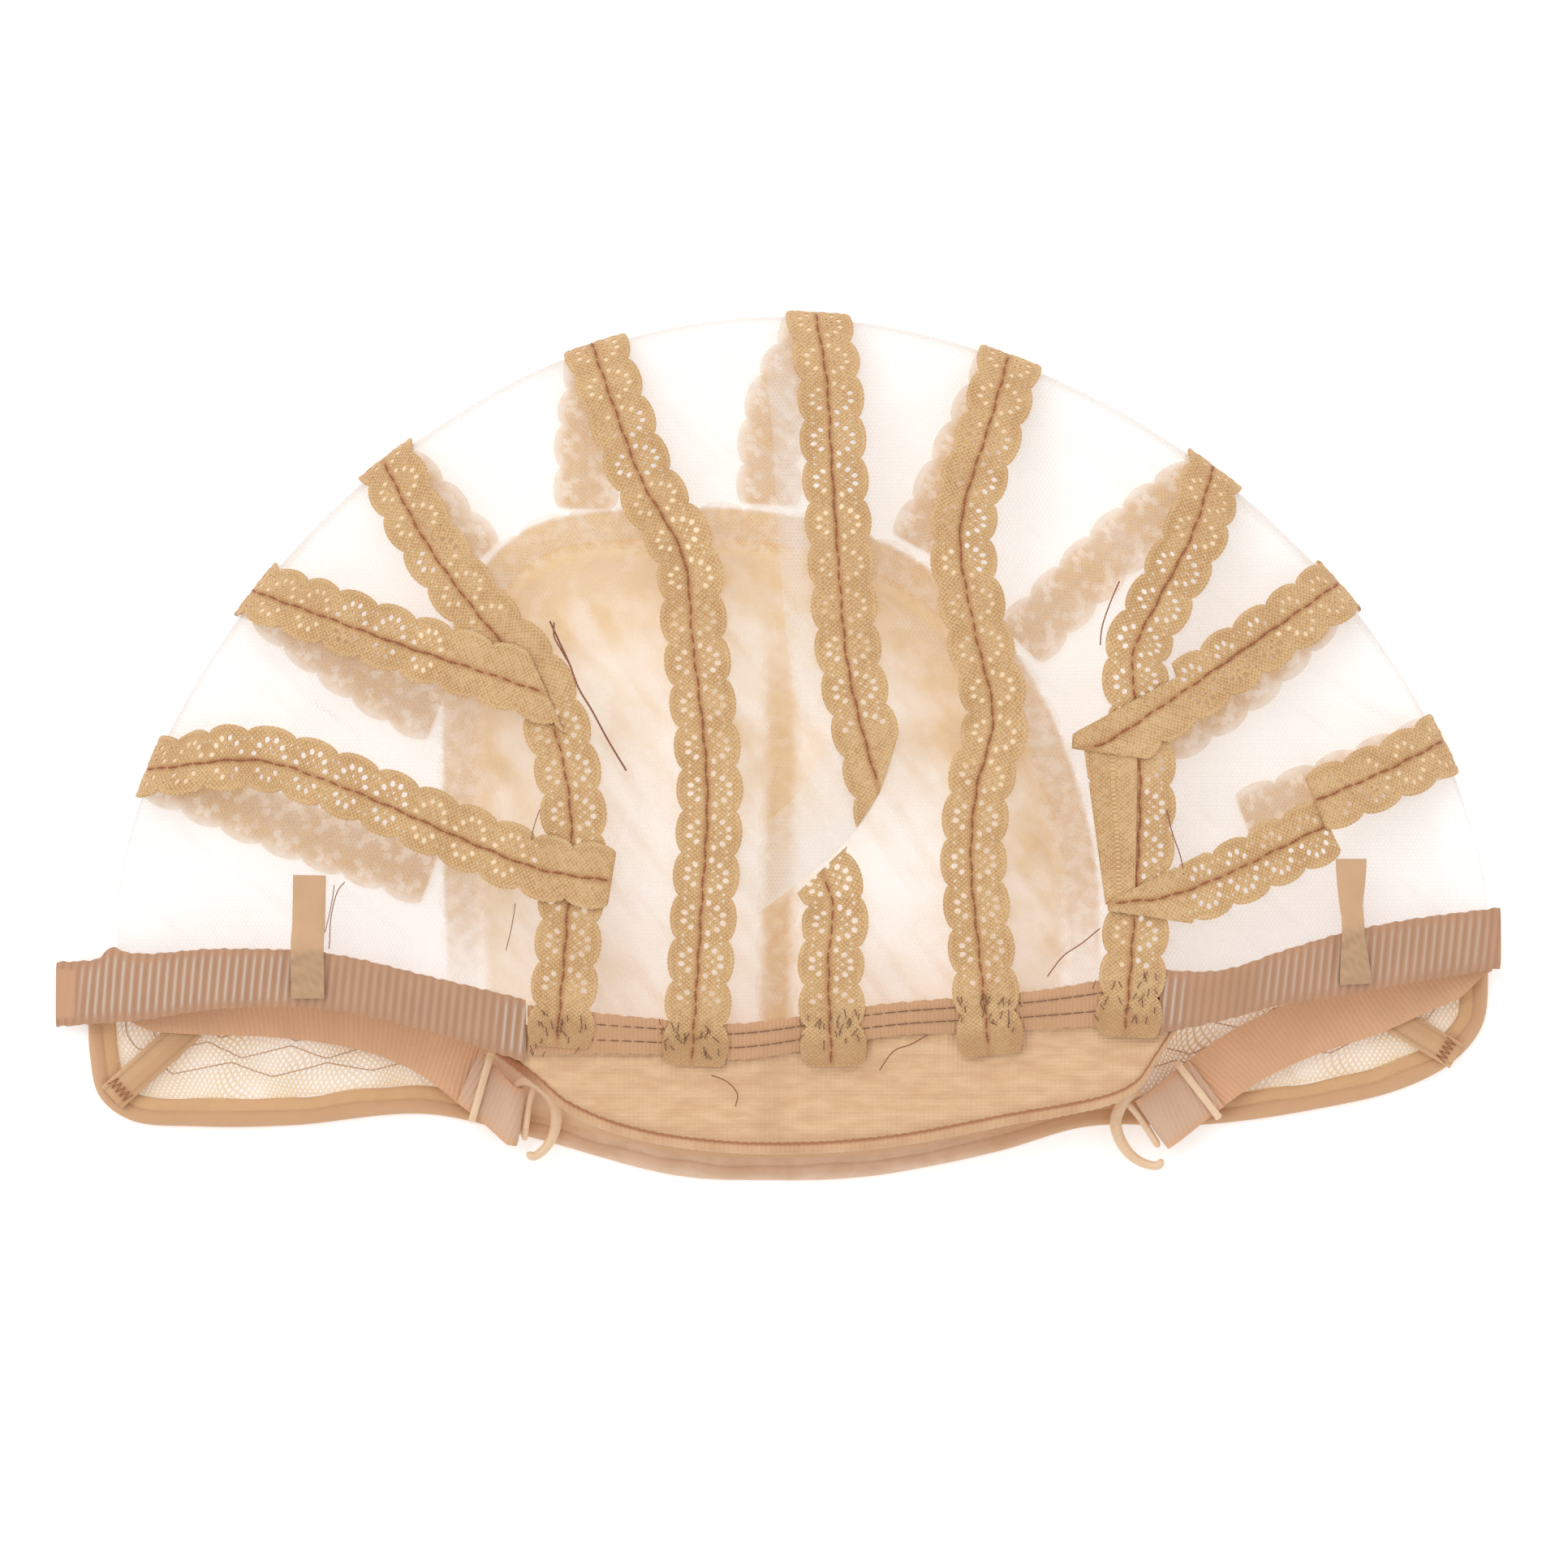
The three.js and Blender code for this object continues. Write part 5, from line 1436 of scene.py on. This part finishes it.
def front_panel_shape(columns=110, rows=90):
    """Front lace of the lower layer, ruled from the hem to the arch and softly crumpled."""
    hem, arch = PlanCurve(HEM_EDGE), PlanCurve(ARCH)
    share = np.linspace(0, 1, columns + 1)
    start, end = hem_distance_at(hem, ARCH[0][0]), hem_distance_at(hem, ARCH[-1][0])
    low = hem.beside(start + (end - start) * share, HEM_WIDTH - PANEL_TUCK)
    high = arch.at(arch.length * share)
    points, runs = [], []
    for way in np.linspace(0, 1, rows + 1):
        plan = low + (high - low) * way
        crumple = waves(PANEL_CRUMPLE, *plan.T) + waves(PANEL_CRINKLE, *plan.T)
        free = math.sin(math.pi * way) ** 0.3 if 0 < way < 1 else 0.0
        points.append(np.column_stack([plan, NET_LOW + PANEL_LIFT + np.abs(crumple) * free]))
        hemmed = HEM_DENSE * smoothstep(-np.linalg.norm(plan - low, axis=1), -HEM_CLOUD, -2.0)
        apart = np.linalg.norm(plan[:, None] - high[None], axis=2).min(axis=1)
        upper = 0.25 + 0.75 * smoothstep(plan[:, 1], -12.0, 24.0)
        away = smoothstep(apart, 0.0, ARCH_OPEN)
        arched = ARCH_DENSE * upper * bell(apart, 0.0, ARCH_CLOUD) * away - ARCH_CLEAR * (1 - away)
        dense = np.clip(crumple, 0, 1) * CRUMPLE_DENSE + cloudiness(*plan.T) + hemmed + arched
        runs.append(np.column_stack([plan, dense]))
    return Shape().add_sheet(points, runs)


def ear_rim(side, columns=120):
    """Hem edge and seam of an ear flap, as rows of matching plan points."""
    hem = PlanCurve(HEM_EDGE)
    share = np.linspace(0, 1, columns + 1)
    if side == "left":
        start, end = 2.0, hem_distance_at(hem, ARCH[0][0])
        seam = net_seam(EAR_SHARE * share)
    else:
        start, end = hem_distance_at(hem, ARCH[-1][0]), hem.length - 2.0
        seam = net_seam(1 - EAR_SHARE * (1 - share))
    return hem.beside(start + (end - start) * share, HEM_WIDTH), seam


def ear_net_shape(side, rows=40):
    """Net of an ear flap, slack between its hem and its seam."""
    low, high = ear_rim(side)
    points, runs = [], []
    for way in np.linspace(0, 1, rows + 1):
        plan = low + (high - low) * way
        x, y = plan.T
        points.append(np.column_stack([plan, NET_LOW + waves(EAR_SAG, x, y)]))
        slack = waves(EAR_SLACK, x, y)
        runs.append(np.column_stack([x + slack, y + 0.8 * slack, 0 * x]))
    return Shape().add_sheet(points, runs)


def ear_thread_shape():
    """Zigzag threads that run through the nets of both ear flaps."""
    shape = Shape()
    for side in ("left", "right"):
        low, high = ear_rim(side)
        share = np.linspace(0, 1, len(low))
        for number, way in enumerate(EAR_THREAD_WAYS):
            teeth = np.abs((share * (EAR_TEETH + number) + 0.4 * number) % 2 - 1)
            plan = low + (high - low) * (way + EAR_TOOTH * teeth)[:, None]
            inner = slice(8 + 5 * number, -8)
            z = np.full(len(plan), NET_LOW + EAR_THREAD_LIFT)
            shape.add_tube(np.column_stack([plan, z])[inner], EAR_THREAD_RADIUS, sides=5)
    return shape


def hem_shape():
    """Tape folded over the lower layer's free edge, rolled at its fold and puckered by its stitches."""
    curve = PlanCurve(HEM_EDGE)
    stations = np.arange(0, curve.length, 0.8)

    def place(along, across, lift):
        wobble = waves(HEM_WOBBLE, along, across)
        return np.column_stack([curve.beside(along, across + wobble * (across > 0.2)), lift])

    def edges(along):
        return 0.0, HEM_WIDTH

    def relief(along, share):
        pucker = np.sin(math.tau * along / HEM_PUCKER_PITCH) * ridge(HEM_PUCKER, share)
        swell = waves(HEM_SWELL, along, share * 5)
        return ridge(HEM_ROLL, share) + ridge(HEM_FOLD, share) + pucker + swell

    def mark(along, share):
        return ridge(HEM_FOLD_SHADE, share) + HEM_EDGE_SHADE * smoothstep(share, 0.93, 1.0)

    return Shape().add_band(place, stations, edges, 0.0, HEM_THICK, relief, mark, across=22)


def edge_band_shape(rows, pitch, lean, pale, smooth_to=NO_SMOOTH, step=0.22):
    """Ribbed ribbon over the net's upper edge; pale gives the places along X with pale ribs."""
    stations = np.linspace(rows[0].x - 0.1, rows[-1].x + 0.1, round((rows[-1].x - rows[0].x) / step))

    def edges(x):
        fray = BAND_FRAY * np.sin(x * 2.3) * np.sin(x * 0.7)
        low, high = band_edges(rows, x)
        return low + fray, high + fray

    def relief(x, share):
        selvedge = inside_edges(share, 0.03, 0.12) * smoothstep(x, smooth_to - 0.5, smooth_to + 0.5)
        rib = 0.5 + 0.5 * np.sin(math.tau * (x - lean * share) / pitch)
        height = BAND_RIB + BAND_PALE_RIB * mark(x, share)
        return height * selvedge * rib + waves(BAND_SWELL, x, share * 10)

    def mark(x, share):
        weight = np.zeros_like(x)
        for span in pale:
            inside = smoothstep(x, span.start - 2, span.start + 2)
            inside = inside * smoothstep(-x, -span.end - 2, -span.end + 2)
            weight = np.maximum(weight, span.strength * inside)
        weight = weight - smoothstep(smooth_to - x, -0.3, 0.3)
        return weight * inside_edges(share, 0.05, 0.2)

    return Shape().add_band(on_band, stations, edges, BAND_BASE, BAND_THICK, relief, mark)


def nape_panel_shape(columns=150, rows=36):
    """Stretch panel at the nape: gathered under its band and softly crinkled, as a closed thin cloth."""
    x = np.linspace(NAPE_EDGE[0].x, NAPE_EDGE[-1].x, columns + 1)
    low = table_value(NAPE_EDGE, "bottom", x) + BINDING_WIDTH - NAPE_IN_BINDING
    high = table_value(NAPE_BAND, "top", x) - NET_UNDER_BAND - NAPE_BELOW_NET
    way = np.linspace(0, 1, rows + 1)
    xs, ways = np.meshgrid(x, way, indexing="ij")
    ys = low[:, None] + (high - low)[:, None] * ways
    folds = np.sin(math.tau * xs / NAPE_FOLD_PITCH + 1.5 * np.sin(xs / 7))
    gather = NAPE_FOLD_HEIGHT * folds * smoothstep(ways, 0.55, 0.95)
    crinkle = waves(NAPE_CRINKLE, xs, ys * 1.6) + waves(NAPE_SAG, xs, ys)
    lift = (gather + crinkle * np.sin(math.pi * ways.clip(0.05, 0.95))).ravel()
    stripe = np.exp(-(((xs - FRONT_STRIP[-1][0]) / FRONT_STRIP_HALF * 1.4) ** 4))
    shade = LOW_SHADE * smoothstep(-ways, -0.12, 0.0) + HIGH_SHADE * smoothstep(ways, 0.8, 1.0)
    shade = shade + STRIPE_SHADE * stripe
    top = on_upper(xs.ravel(), ys.ravel(), NAPE_TOP + lift)
    bottom = on_upper(xs.ravel(), ys.ravel(), NAPE_BOTTOM + lift)
    quads = grid_quads(*xs.shape)
    triangles = np.vstack([quads[:, [0, 1, 2]], quads[:, [0, 2, 3]]])
    face = np.column_stack([xs.ravel(), ys.ravel(), shade.ravel()])
    return Shape().add_cloth(top, bottom, triangles, face)


def nape_binding_shape():
    """Rolled lower edge of the nape panel, with the slanting dents of its overcast thread."""
    stations = np.arange(NAPE_EDGE[0].x, NAPE_EDGE[-1].x, 0.3)
    angle = math.tau * np.arange(BINDING_SIDES) / BINDING_SIDES
    x, turn = np.meshgrid(stations, angle, indexing="ij")
    twist = 1 + BINDING_DENT * np.sin(math.tau * x / BINDING_PITCH + turn)
    y = table_value(NAPE_EDGE, "bottom", x.ravel()) + BINDING_WIDTH / 2
    y = y + (BINDING_WIDTH / 2 * np.cos(turn) * twist).ravel()
    lift = (BINDING_THICK / 2 * np.sin(turn) * twist).ravel()
    rings = on_upper(x.ravel(), y, lift).reshape(*x.shape, 3)
    seam = np.maximum(ridge(BINDING_SEAM, np.cos(turn)), smoothstep(-x, *BINDING_DARK))
    return Shape().add_rings(rings, np.stack([x, turn / math.tau, seam], axis=-1))


class StrapRun:
    """A strap's way along the lower layer, over the hook's bar and back on itself."""

    STEP = 0.2

    def __init__(self, strap):
        self.strap = strap
        self.curve = curve = PlanCurve(strap.path)
        middle = STRAP_BOTTOM + WALL / 2
        out = np.arange(0, curve.length, self.STEP)
        main = np.column_stack([curve.at(out), np.full(len(out), middle)])
        end = np.append(curve.at([curve.length])[0], middle)
        ahead = np.array([strap.fold[1], -strap.fold[0], 0.0])
        angle = np.linspace(0, math.pi, 26)[1:-1]
        bow = end + STRAP_TURN * np.sin(angle)[:, None] * ahead
        bow[:, 2] = middle + STRAP_TURN * (1 - np.cos(angle))
        back = np.arange(0, STRAP_BACK, self.STEP)
        sink = smoothstep(back, 0, STRAP_BACK_DROP)
        height = middle + 2 * STRAP_TURN + (RIDE - 2 * STRAP_TURN) * sink
        rest = np.column_stack([curve.at(curve.length - back), height])
        self.points = np.vstack([main, bow, rest])
        distance = np.concatenate([out, np.full(len(bow), curve.length), curve.length - back])
        self.across = self.across_at(distance)
        forward = unit(np.gradient(self.points, axis=0))
        self.face = unit(np.cross(self.across, forward))
        self.returns = np.arange(len(self.points)) >= len(main)

    def across_at(self, distance):
        """Direction across the strap, which turns to that of its fold towards its end."""
        square = left_of(self.curve.direction(distance))
        lean = smoothstep(distance, self.curve.length - self.strap.lean, self.curve.length - 2)[:, None]
        return np.column_stack([unit(square * (1 - lean) + np.array(self.strap.fold) * lean), 0 * distance])

    def frame_at(self, from_end):
        """Origin on the floor and axes across, up and along at a distance from the fold."""
        distance = np.array([self.curve.length - from_end])
        across = self.across_at(distance)[0]
        up = np.array([0.0, 0.0, 1.0])
        return np.append(self.curve.at(distance)[0], 0.0), across, up, np.cross(across, up)


def strap_shape(run):
    """Strap with fine slanting ribs on both faces, pale on the length that turns back."""
    along = np.arange(len(run.points)) * StrapRun.STEP
    share = np.linspace(0, 1, 11)
    s, t = np.meshgrid(along, share, indexing="ij")
    selvedge = inside_edges(t, 0.04, 0.14)
    rib = STRAP_RIB * selvedge * (0.5 + 0.5 * np.sin(math.tau * (s + STRAP_LEAN * t) / STRAP_PITCH))
    half = STRAP_THICK / 2 - STRAP_SOFT * np.abs(2 * t - 1) ** EDGE_POWER
    width = STRAP_WIDTH * (STRAP_GATHER + (1 - STRAP_GATHER) * smoothstep(s, 0, STRAP_GATHERED))
    middle = run.points[:, None] + run.across[:, None] * ((t - 0.5) * width)[..., None]
    outer = middle + run.face[:, None] * (half + rib)[..., None]
    inner = middle - run.face[:, None] * (half + rib)[..., None]
    pale = np.where(run.returns, STRAP_PALE, 0.0)[:, None] * selvedge
    face = np.stack([s, t, pale], axis=-1)
    return Shape().add_faces(outer, inner, face)


def rounded_loop(half, low, high, corner, steps=5):
    """Rectangle with round corners in the plane across and up."""
    middles = [(half - corner, high - corner, 0), (-half + corner, high - corner, 1)]
    middles += [(-half + corner, low + corner, 2), (half - corner, low + corner, 3)]
    points = []
    for x, z, quarter in middles:
        for angle in np.linspace(0, math.pi / 2, steps) + quarter * math.pi / 2:
            points.append((x + corner * math.cos(angle), z + corner * math.sin(angle)))
    return np.array(points)


def slider_shape(run):
    """Moulded slider frame round both runs of a strap, with soft edges."""
    origin, across, up, heading = run.frame_at(run.strap.slider)
    half = STRAP_WIDTH / 2 + SLIDER_SLACK
    low, high = STRAP_BOTTOM - GAP, STRAP_BOTTOM + 2 * WALL + 2 * GAP
    inner = rounded_loop(half, low, high, SLIDER_INNER_CORNER)
    outer = rounded_loop(half + SLIDER_SIDE, low - SLIDER_WALL, high + SLIDER_WALL, SLIDER_CORNER)
    cut = SLIDER_CHAMFER
    section = [(0, 0.5 - cut), (cut, 0.5), (1 - cut, 0.5), (1, 0.5 - cut)]
    section += [(depth, -along) for depth, along in section[::-1]]
    rings = []
    for inside, outside in zip(inner, outer):
        ring = []
        for depth, along in section:
            x, z = inside + (outside - inside) * depth
            ring.append(origin + x * across + z * up + along * SLIDER_LENGTH * heading)
        rings.append(ring)
    rings = np.array(rings)
    return Shape().add_rings(rings, np.zeros_like(rings), looped=True)


def hook_shape(run):
    """Open hook: a bar in the strap's fold, a ring beside it, a bow outwards and a curled, rounded tip."""
    origin, across, up, heading = run.frame_at(0.0)
    origin = origin + up * (STRAP_BOTTOM + WALL / 2 + STRAP_TURN)
    outward = heading * math.cos(HOOK_TILT) - up * math.sin(HOOK_TILT)
    shape = Shape()
    rods = [(HOOK_LINE, HOOK_BAR, HOOK_BOW, HOOK_TIP), (RING_LINE, RING_BAR, RING_BAR, RING_BAR)]
    for points, thin, thick, tip in rods:
        curve = PlanCurve([(run.strap.hook_side * point.across, point.out) for point in points])
        distance = np.linspace(0, curve.length, 90)
        flat = curve.at(distance)
        radius = thin + (thick - thin) * smoothstep(flat[:, 1], 0.5, 3.0)
        radius = radius + (tip - thick) * smoothstep(distance, 0.6 * curve.length, curve.length)
        ends = np.minimum(distance, curve.length - distance) / HOOK_BOW
        radius = radius * np.sqrt(1 - (1 - np.clip(ends, 0.02, 1)) ** 2)
        shape.add_tube(origin + flat[:, :1] * across + flat[:, 1:] * outward, radius, sides=14)
    return shape


def tab_shape(tab):
    """Short flat ribbon that stands on the net and is sewn down on an ear band."""
    curve = PlanCurve(tab.path)

    def place(along, across, lift):
        climb = RIDE * smoothstep(tab.raised - (curve.length - along), -TAB_RAMP, 0)
        return on_cap(curve.beside(along, across), True, lift + climb)

    def edges(along):
        pinch = 1 - (1 - tab.waist) * np.sin(math.pi * along / curve.length) ** 2
        return -tab.width / 2 * pinch, tab.width / 2 * pinch

    def sewn(along):
        return smoothstep(along, curve.length - tab.raised, curve.length - tab.raised + 3)

    def relief(along, share):
        return sewn(along) * waves(TAB_GATHER, along, share * 8) + waves(TAB_SWELL, along, share * 6)

    def mark(along, share):
        return sewn(along) * (TAB_SHADE + waves(TAB_BLOTCH, along, share * 8))

    stations = np.arange(0, curve.length, 0.4)
    return Shape().add_band(place, stations, edges, TAB_BASE, TAB_THICK, relief, mark)


def stay_shape(stay):
    """Diagonal tape in an ear flap, folded along its edges."""
    run = FlatRun([stay.start, stay.end])
    stations = np.arange(0, run.length, 0.5)

    def edges(along):
        return -stay.width / 2, stay.width / 2

    def relief(along, share):
        return ridge(STAY_FOLD, np.abs(share - 0.5)) + waves(STAY_SWELL, along, share * 5)

    def mark(along, share):
        return ridge(STAY_SEAM, np.abs(share - 0.5))

    return Shape().add_band(run.place, stations, edges, HEM_TOP + GAP, STAY_THICK, relief, mark)


def loose_thread_shape():
    """Thread ends that lie loose on the upper layer."""
    shape = Shape()
    for thread in LOOSE_THREADS:
        curve = PlanCurve(thread.path)
        distance = np.linspace(0, curve.length, 40)
        lift = LOOSE_LIFT - LOOSE_WAVE * np.cos(distance / curve.length * math.tau)
        plan = curve.at(distance)
        shape.add_tube(on_cap(plan, True, lift), thread.radius, sides=6)
    return shape


def add_band_stitch(shape, rows, x, share, lift, shift=0.0):
    """One stitch bowed up out of an edge ribbon, at a share of its width."""
    low, high = band_edges(rows, x)
    bow = SEAM_BOW * np.sin(math.pi * np.linspace(0, 1, len(x)))
    line = on_band(x, low + share * (high - low) + shift, lift + bow)
    shape.add_tube(line, TACK_RADIUS, sides=5)


def add_tacks(shape, rows, centre, lift, seed):
    """Scattered short stitches of dark thread that hold a strip's end on the nape band."""
    draw = np.random.default_rng(seed)
    for _ in range(TACKS):
        x = centre + draw.uniform(-TACK_SPREAD, TACK_SPREAD)
        share, turn = draw.uniform(0.0, TACK_HIGHEST), math.pi / 2 + draw.normal(0, TACK_TURN)
        step = draw.uniform(*TACK_LENGTHS) * (STITCH_WAYS - 0.5)
        add_band_stitch(shape, rows, x + step * math.cos(turn), share, lift, step * math.sin(turn))


def add_bartack(shape, stay):
    """Close zigzag of thread across the outer end of a stay."""
    start, end = np.array(stay.start), np.array(stay.end)
    inward = unit(end - start)
    across = np.array([-inward[1], inward[0]])
    share = np.linspace(0, 1, 8 * BARTACK_TEETH)
    tooth = np.abs((share * BARTACK_TEETH) % 2 - 1)
    plan = start + inward * (BARTACK_INSET + BARTACK_DEPTH * tooth)[:, None]
    plan = plan + across * ((share - 0.5) * BARTACK_WIDTH * stay.width)[:, None]
    height = np.full(len(share), HEM_TOP + GAP + STAY_THICK + BARTACK_LIFT)
    shape.add_tube(np.column_stack([plan, height]), TACK_RADIUS, sides=5)


def add_seam_rows(shape, rows, shares, lift):
    """Rows of stitches along an edge ribbon, at shares of its width."""
    for share in shares:
        for start in np.arange(rows[0].x + 1, rows[-1].x - 3, SEAM_PITCH):
            add_band_stitch(shape, rows, start + SEAM_STITCH * STITCH_WAYS, share, lift - SEAM_SUNK)


def let_light_through(piece):
    """A sheer piece hardly dims the light that falls through it."""
    piece.visible_shadow = False
    piece.visible_diffuse = False


def build_nets():
    """Sheer crown net, front panel and the two ear nets."""
    net = net_look("sheer_net", *SHEER_NET, SHEER_WEAVE)
    crown = make_piece("crown_net_sheet", crown_net_shape(), net, ["crown_net"], closed=False)
    front = front_panel_shape()
    panel = make_piece("front_panel_sheet", front, panel_look(), ["front_lace"], closed=False)
    let_light_through(crown)
    let_light_through(panel)
    mesh = net_look("ear_mesh", *EAR_MESH, EAR_WEAVE)
    for side in ("left", "right"):
        node = f"ear_net_{side}"
        ear = make_piece(f"{node}_sheet", ear_net_shape(side), mesh, [node], closed=False)
        let_light_through(ear)
    thread = thread_look("net_thread", *NET_THREAD)
    make_piece("ear_net_threads", ear_thread_shape(), thread)


def build_lace():
    """Lace strips over both layers, the arch and the middle strip under them, and their stitch lines."""
    unit_lace = lace_repeat()
    lace, lit_haze = lace_look("lace"), lace_look("lit_haze_lace", STRIP_HAZE)
    seams = Shape()
    names = [f"lace_strip_{number + 1}" for number in range(len(STRIPS))]
    for node, strip in zip([*names, "lace_strip_5_tail"], [*STRIPS, STRIP_TAIL]):
        run = StripRun(strip)
        sewn_length = SEWN_LENGTH if ends_on_nape(strip) else UNSEWN
        shape = add_lace(Shape(), unit_lace, run, cuts=strip.cuts, sewn_length=sewn_length)
        add_eyelet_light(shape, run)
        if node == "lace_strip_7":
            double = StripRun(DOUBLED)
            base = LACE_BASE + DOUBLED_LIFT
            add_lace(shape, unit_lace, double, base, DOUBLED_WIDTH, DOUBLED.cuts, hidden=True)
        if node == "lace_strip_9":
            end = StripRun(STRIP_9_END)
            add_lace(shape, unit_lace, end, cuts=STRIP_9_END.cuts)
            add_stitches(seams, end, STRIP_9_END.cuts)
        make_piece(f"{node}_trim", shape, lace, [node], closed=False, low_material=lit_haze)
        add_stitches(seams, run, strip.cuts)
    shape = add_lace(Shape(), unit_lace, FlatRun(ARCH, 2), FLAT_LACE_BASE)
    arch = lace_look("arch_lace", ARCH_HAZE)
    let_light_through(make_piece("lace_arch_trim", shape, arch, ["lace_arch"], closed=False))
    narrowing = FRONT_STRIP_HALF / LACE_WIDE
    shape = add_lace(Shape(), unit_lace, FlatRun(FRONT_STRIP, 1), FLAT_LACE_BASE, narrowing)
    front = lace_look("front_strip_lace", FRONT_HAZE)
    let_light_through(
        make_piece("lace_front_strip_trim", shape, front, ["lace_front_strip"], closed=False)
    )
    make_piece("strip_stitches", seams, thread_look("seam_thread", *SEAM_THREAD))


def build_edges():
    """Ribbons of the upper edge, nape panel with its binding, hem tape, stays and tabs."""
    ear = ribbon_look("ear_ribbon", *EAR_RIBBON, EAR_PITCH, -EAR_LEAN)
    left = edge_band_shape(EAR_BAND_LEFT, EAR_PITCH, EAR_LEAN, LEFT_PALE, LEFT_SMOOTH_TO)
    make_piece("ear_band_left_ribbon", left, ear, ["ear_band_left"])
    right = edge_band_shape(EAR_BAND_RIGHT, EAR_PITCH, EAR_LEAN, RIGHT_PALE)
    make_piece("ear_band_right_ribbon", right, ear, ["ear_band_right"])
    nape = ribbon_look("nape_ribbon", *NAPE_RIBBON, NAPE_PITCH)
    band = edge_band_shape(NAPE_BAND, NAPE_PITCH, 0.0, [])
    make_piece("nape_band_ribbon", band, nape, ["nape_band"])
    knit = knit_look("stretch_knit", *NAPE_KNIT)
    shape = nape_panel_shape()
    panel = make_piece("nape_panel_sheet", shape, knit, ["nape_panel"], closed=False)
    rolled = knit_look("rolled_knit", *ROLLED_KNIT)
    make_piece("nape_binding_roll", nape_binding_shape(), rolled, ["nape_binding"])
    tape = tape_look("hem_fold", *HEM_TAPE)
    make_piece("hem_tape_fold", hem_shape(), tape, ["hem_tape"])
    plain = tape_look("plain_tape", *PLAIN_TAPE)
    bartacks = Shape()
    for stay in STAYS:
        make_piece(f"{stay.name}_tape", stay_shape(stay), plain, [stay.name])
        add_bartack(bartacks, stay)
    make_piece("stay_bartacks", bartacks, thread_look("bartack_thread", *BARTACK_THREAD))
    soft = tape_look("tab_ribbon", *TAB_TAPE)
    for tab in TABS:
        make_piece(f"{tab.name}_ribbon", tab_shape(tab), soft, [tab.name])


def build_straps():
    """Straps with their sliders and hooks."""
    ribbon = ribbon_look("strap_ribbon", *STRAP_RIBBON, STRAP_PITCH, STRAP_LEAN, plain=0.8)
    plastic = plastic_look()
    for strap in STRAPS:
        side, run = strap.side, StrapRun(strap)
        make_piece(f"strap_{side}_ribbon", strap_shape(run), ribbon, [f"strap_{side}"])
        make_piece(f"slider_{side}_frame", slider_shape(run), plastic, [f"slider_{side}"])
        make_piece(f"hook_{side}_rod", hook_shape(run), plastic, [f"hook_{side}"])


def build_threads():
    """Sewing thread on the nape band and the loose thread ends."""
    sewing = Shape()
    add_seam_rows(sewing, NAPE_BAND, NAPE_SEAMS, BAND_TOP)
    for seed, strip in enumerate([*STRIPS, STRIP_TAIL]):
        if ends_on_nape(strip):
            add_tacks(sewing, NAPE_BAND, strip.upper[-1][0], BAND_TOP + PRESSED * RIDE, seed)
    make_piece("nape_stitches", sewing, thread_look("dark_thread", *DARK_THREAD))
    make_piece("loose_threads", loose_thread_shape(), thread_look("loose_thread", *LOOSE_THREAD))


def build_stage():
    """White floor, soft light from above and a camera that looks straight down."""
    bpy.ops.mesh.primitive_plane_add(size=FLOOR_SIZE, location=(0, 0, FLOOR_Z))
    floor = bpy.context.object
    floor.name = "floor"
    floor.data.materials.append(floor_look())
    world = bpy.data.worlds.new("studio")
    world.use_nodes = True
    light = world.node_tree.nodes["Background"].inputs
    light["Color"].default_value = ROUND_COLOUR
    light["Strength"].default_value = ROUND_STRENGTH
    bpy.context.scene.world = world
    lamp = bpy.data.lights.new("key", "SUN")
    lamp.energy = KEY_STRENGTH
    lamp.angle = math.radians(KEY_SPREAD)
    key = bpy.data.objects.new("key", lamp)
    key.rotation_euler = [math.radians(turn) for turn in KEY_TURN]
    bpy.context.scene.collection.objects.link(key)
    data = bpy.data.cameras.new("camera")
    data.sensor_width = SENSOR
    data.lens = SENSOR * (CAMERA_HEIGHT - PICTURE_Z) / PICTURE_WIDTH
    data.clip_end = CLIP_END
    camera = bpy.data.objects.new("camera", data)
    camera.location = (PICTURE_X * MM, PICTURE_Y * MM, CAMERA_HEIGHT * MM)
    bpy.context.scene.collection.objects.link(camera)
    bpy.context.scene.camera = camera
    bpy.context.scene.view_settings.view_transform = "Standard"


for leftover in list(bpy.data.objects):
    bpy.data.objects.remove(leftover)
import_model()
build_stage()
build_nets()
build_lace()
build_edges()
build_straps()
build_threads()
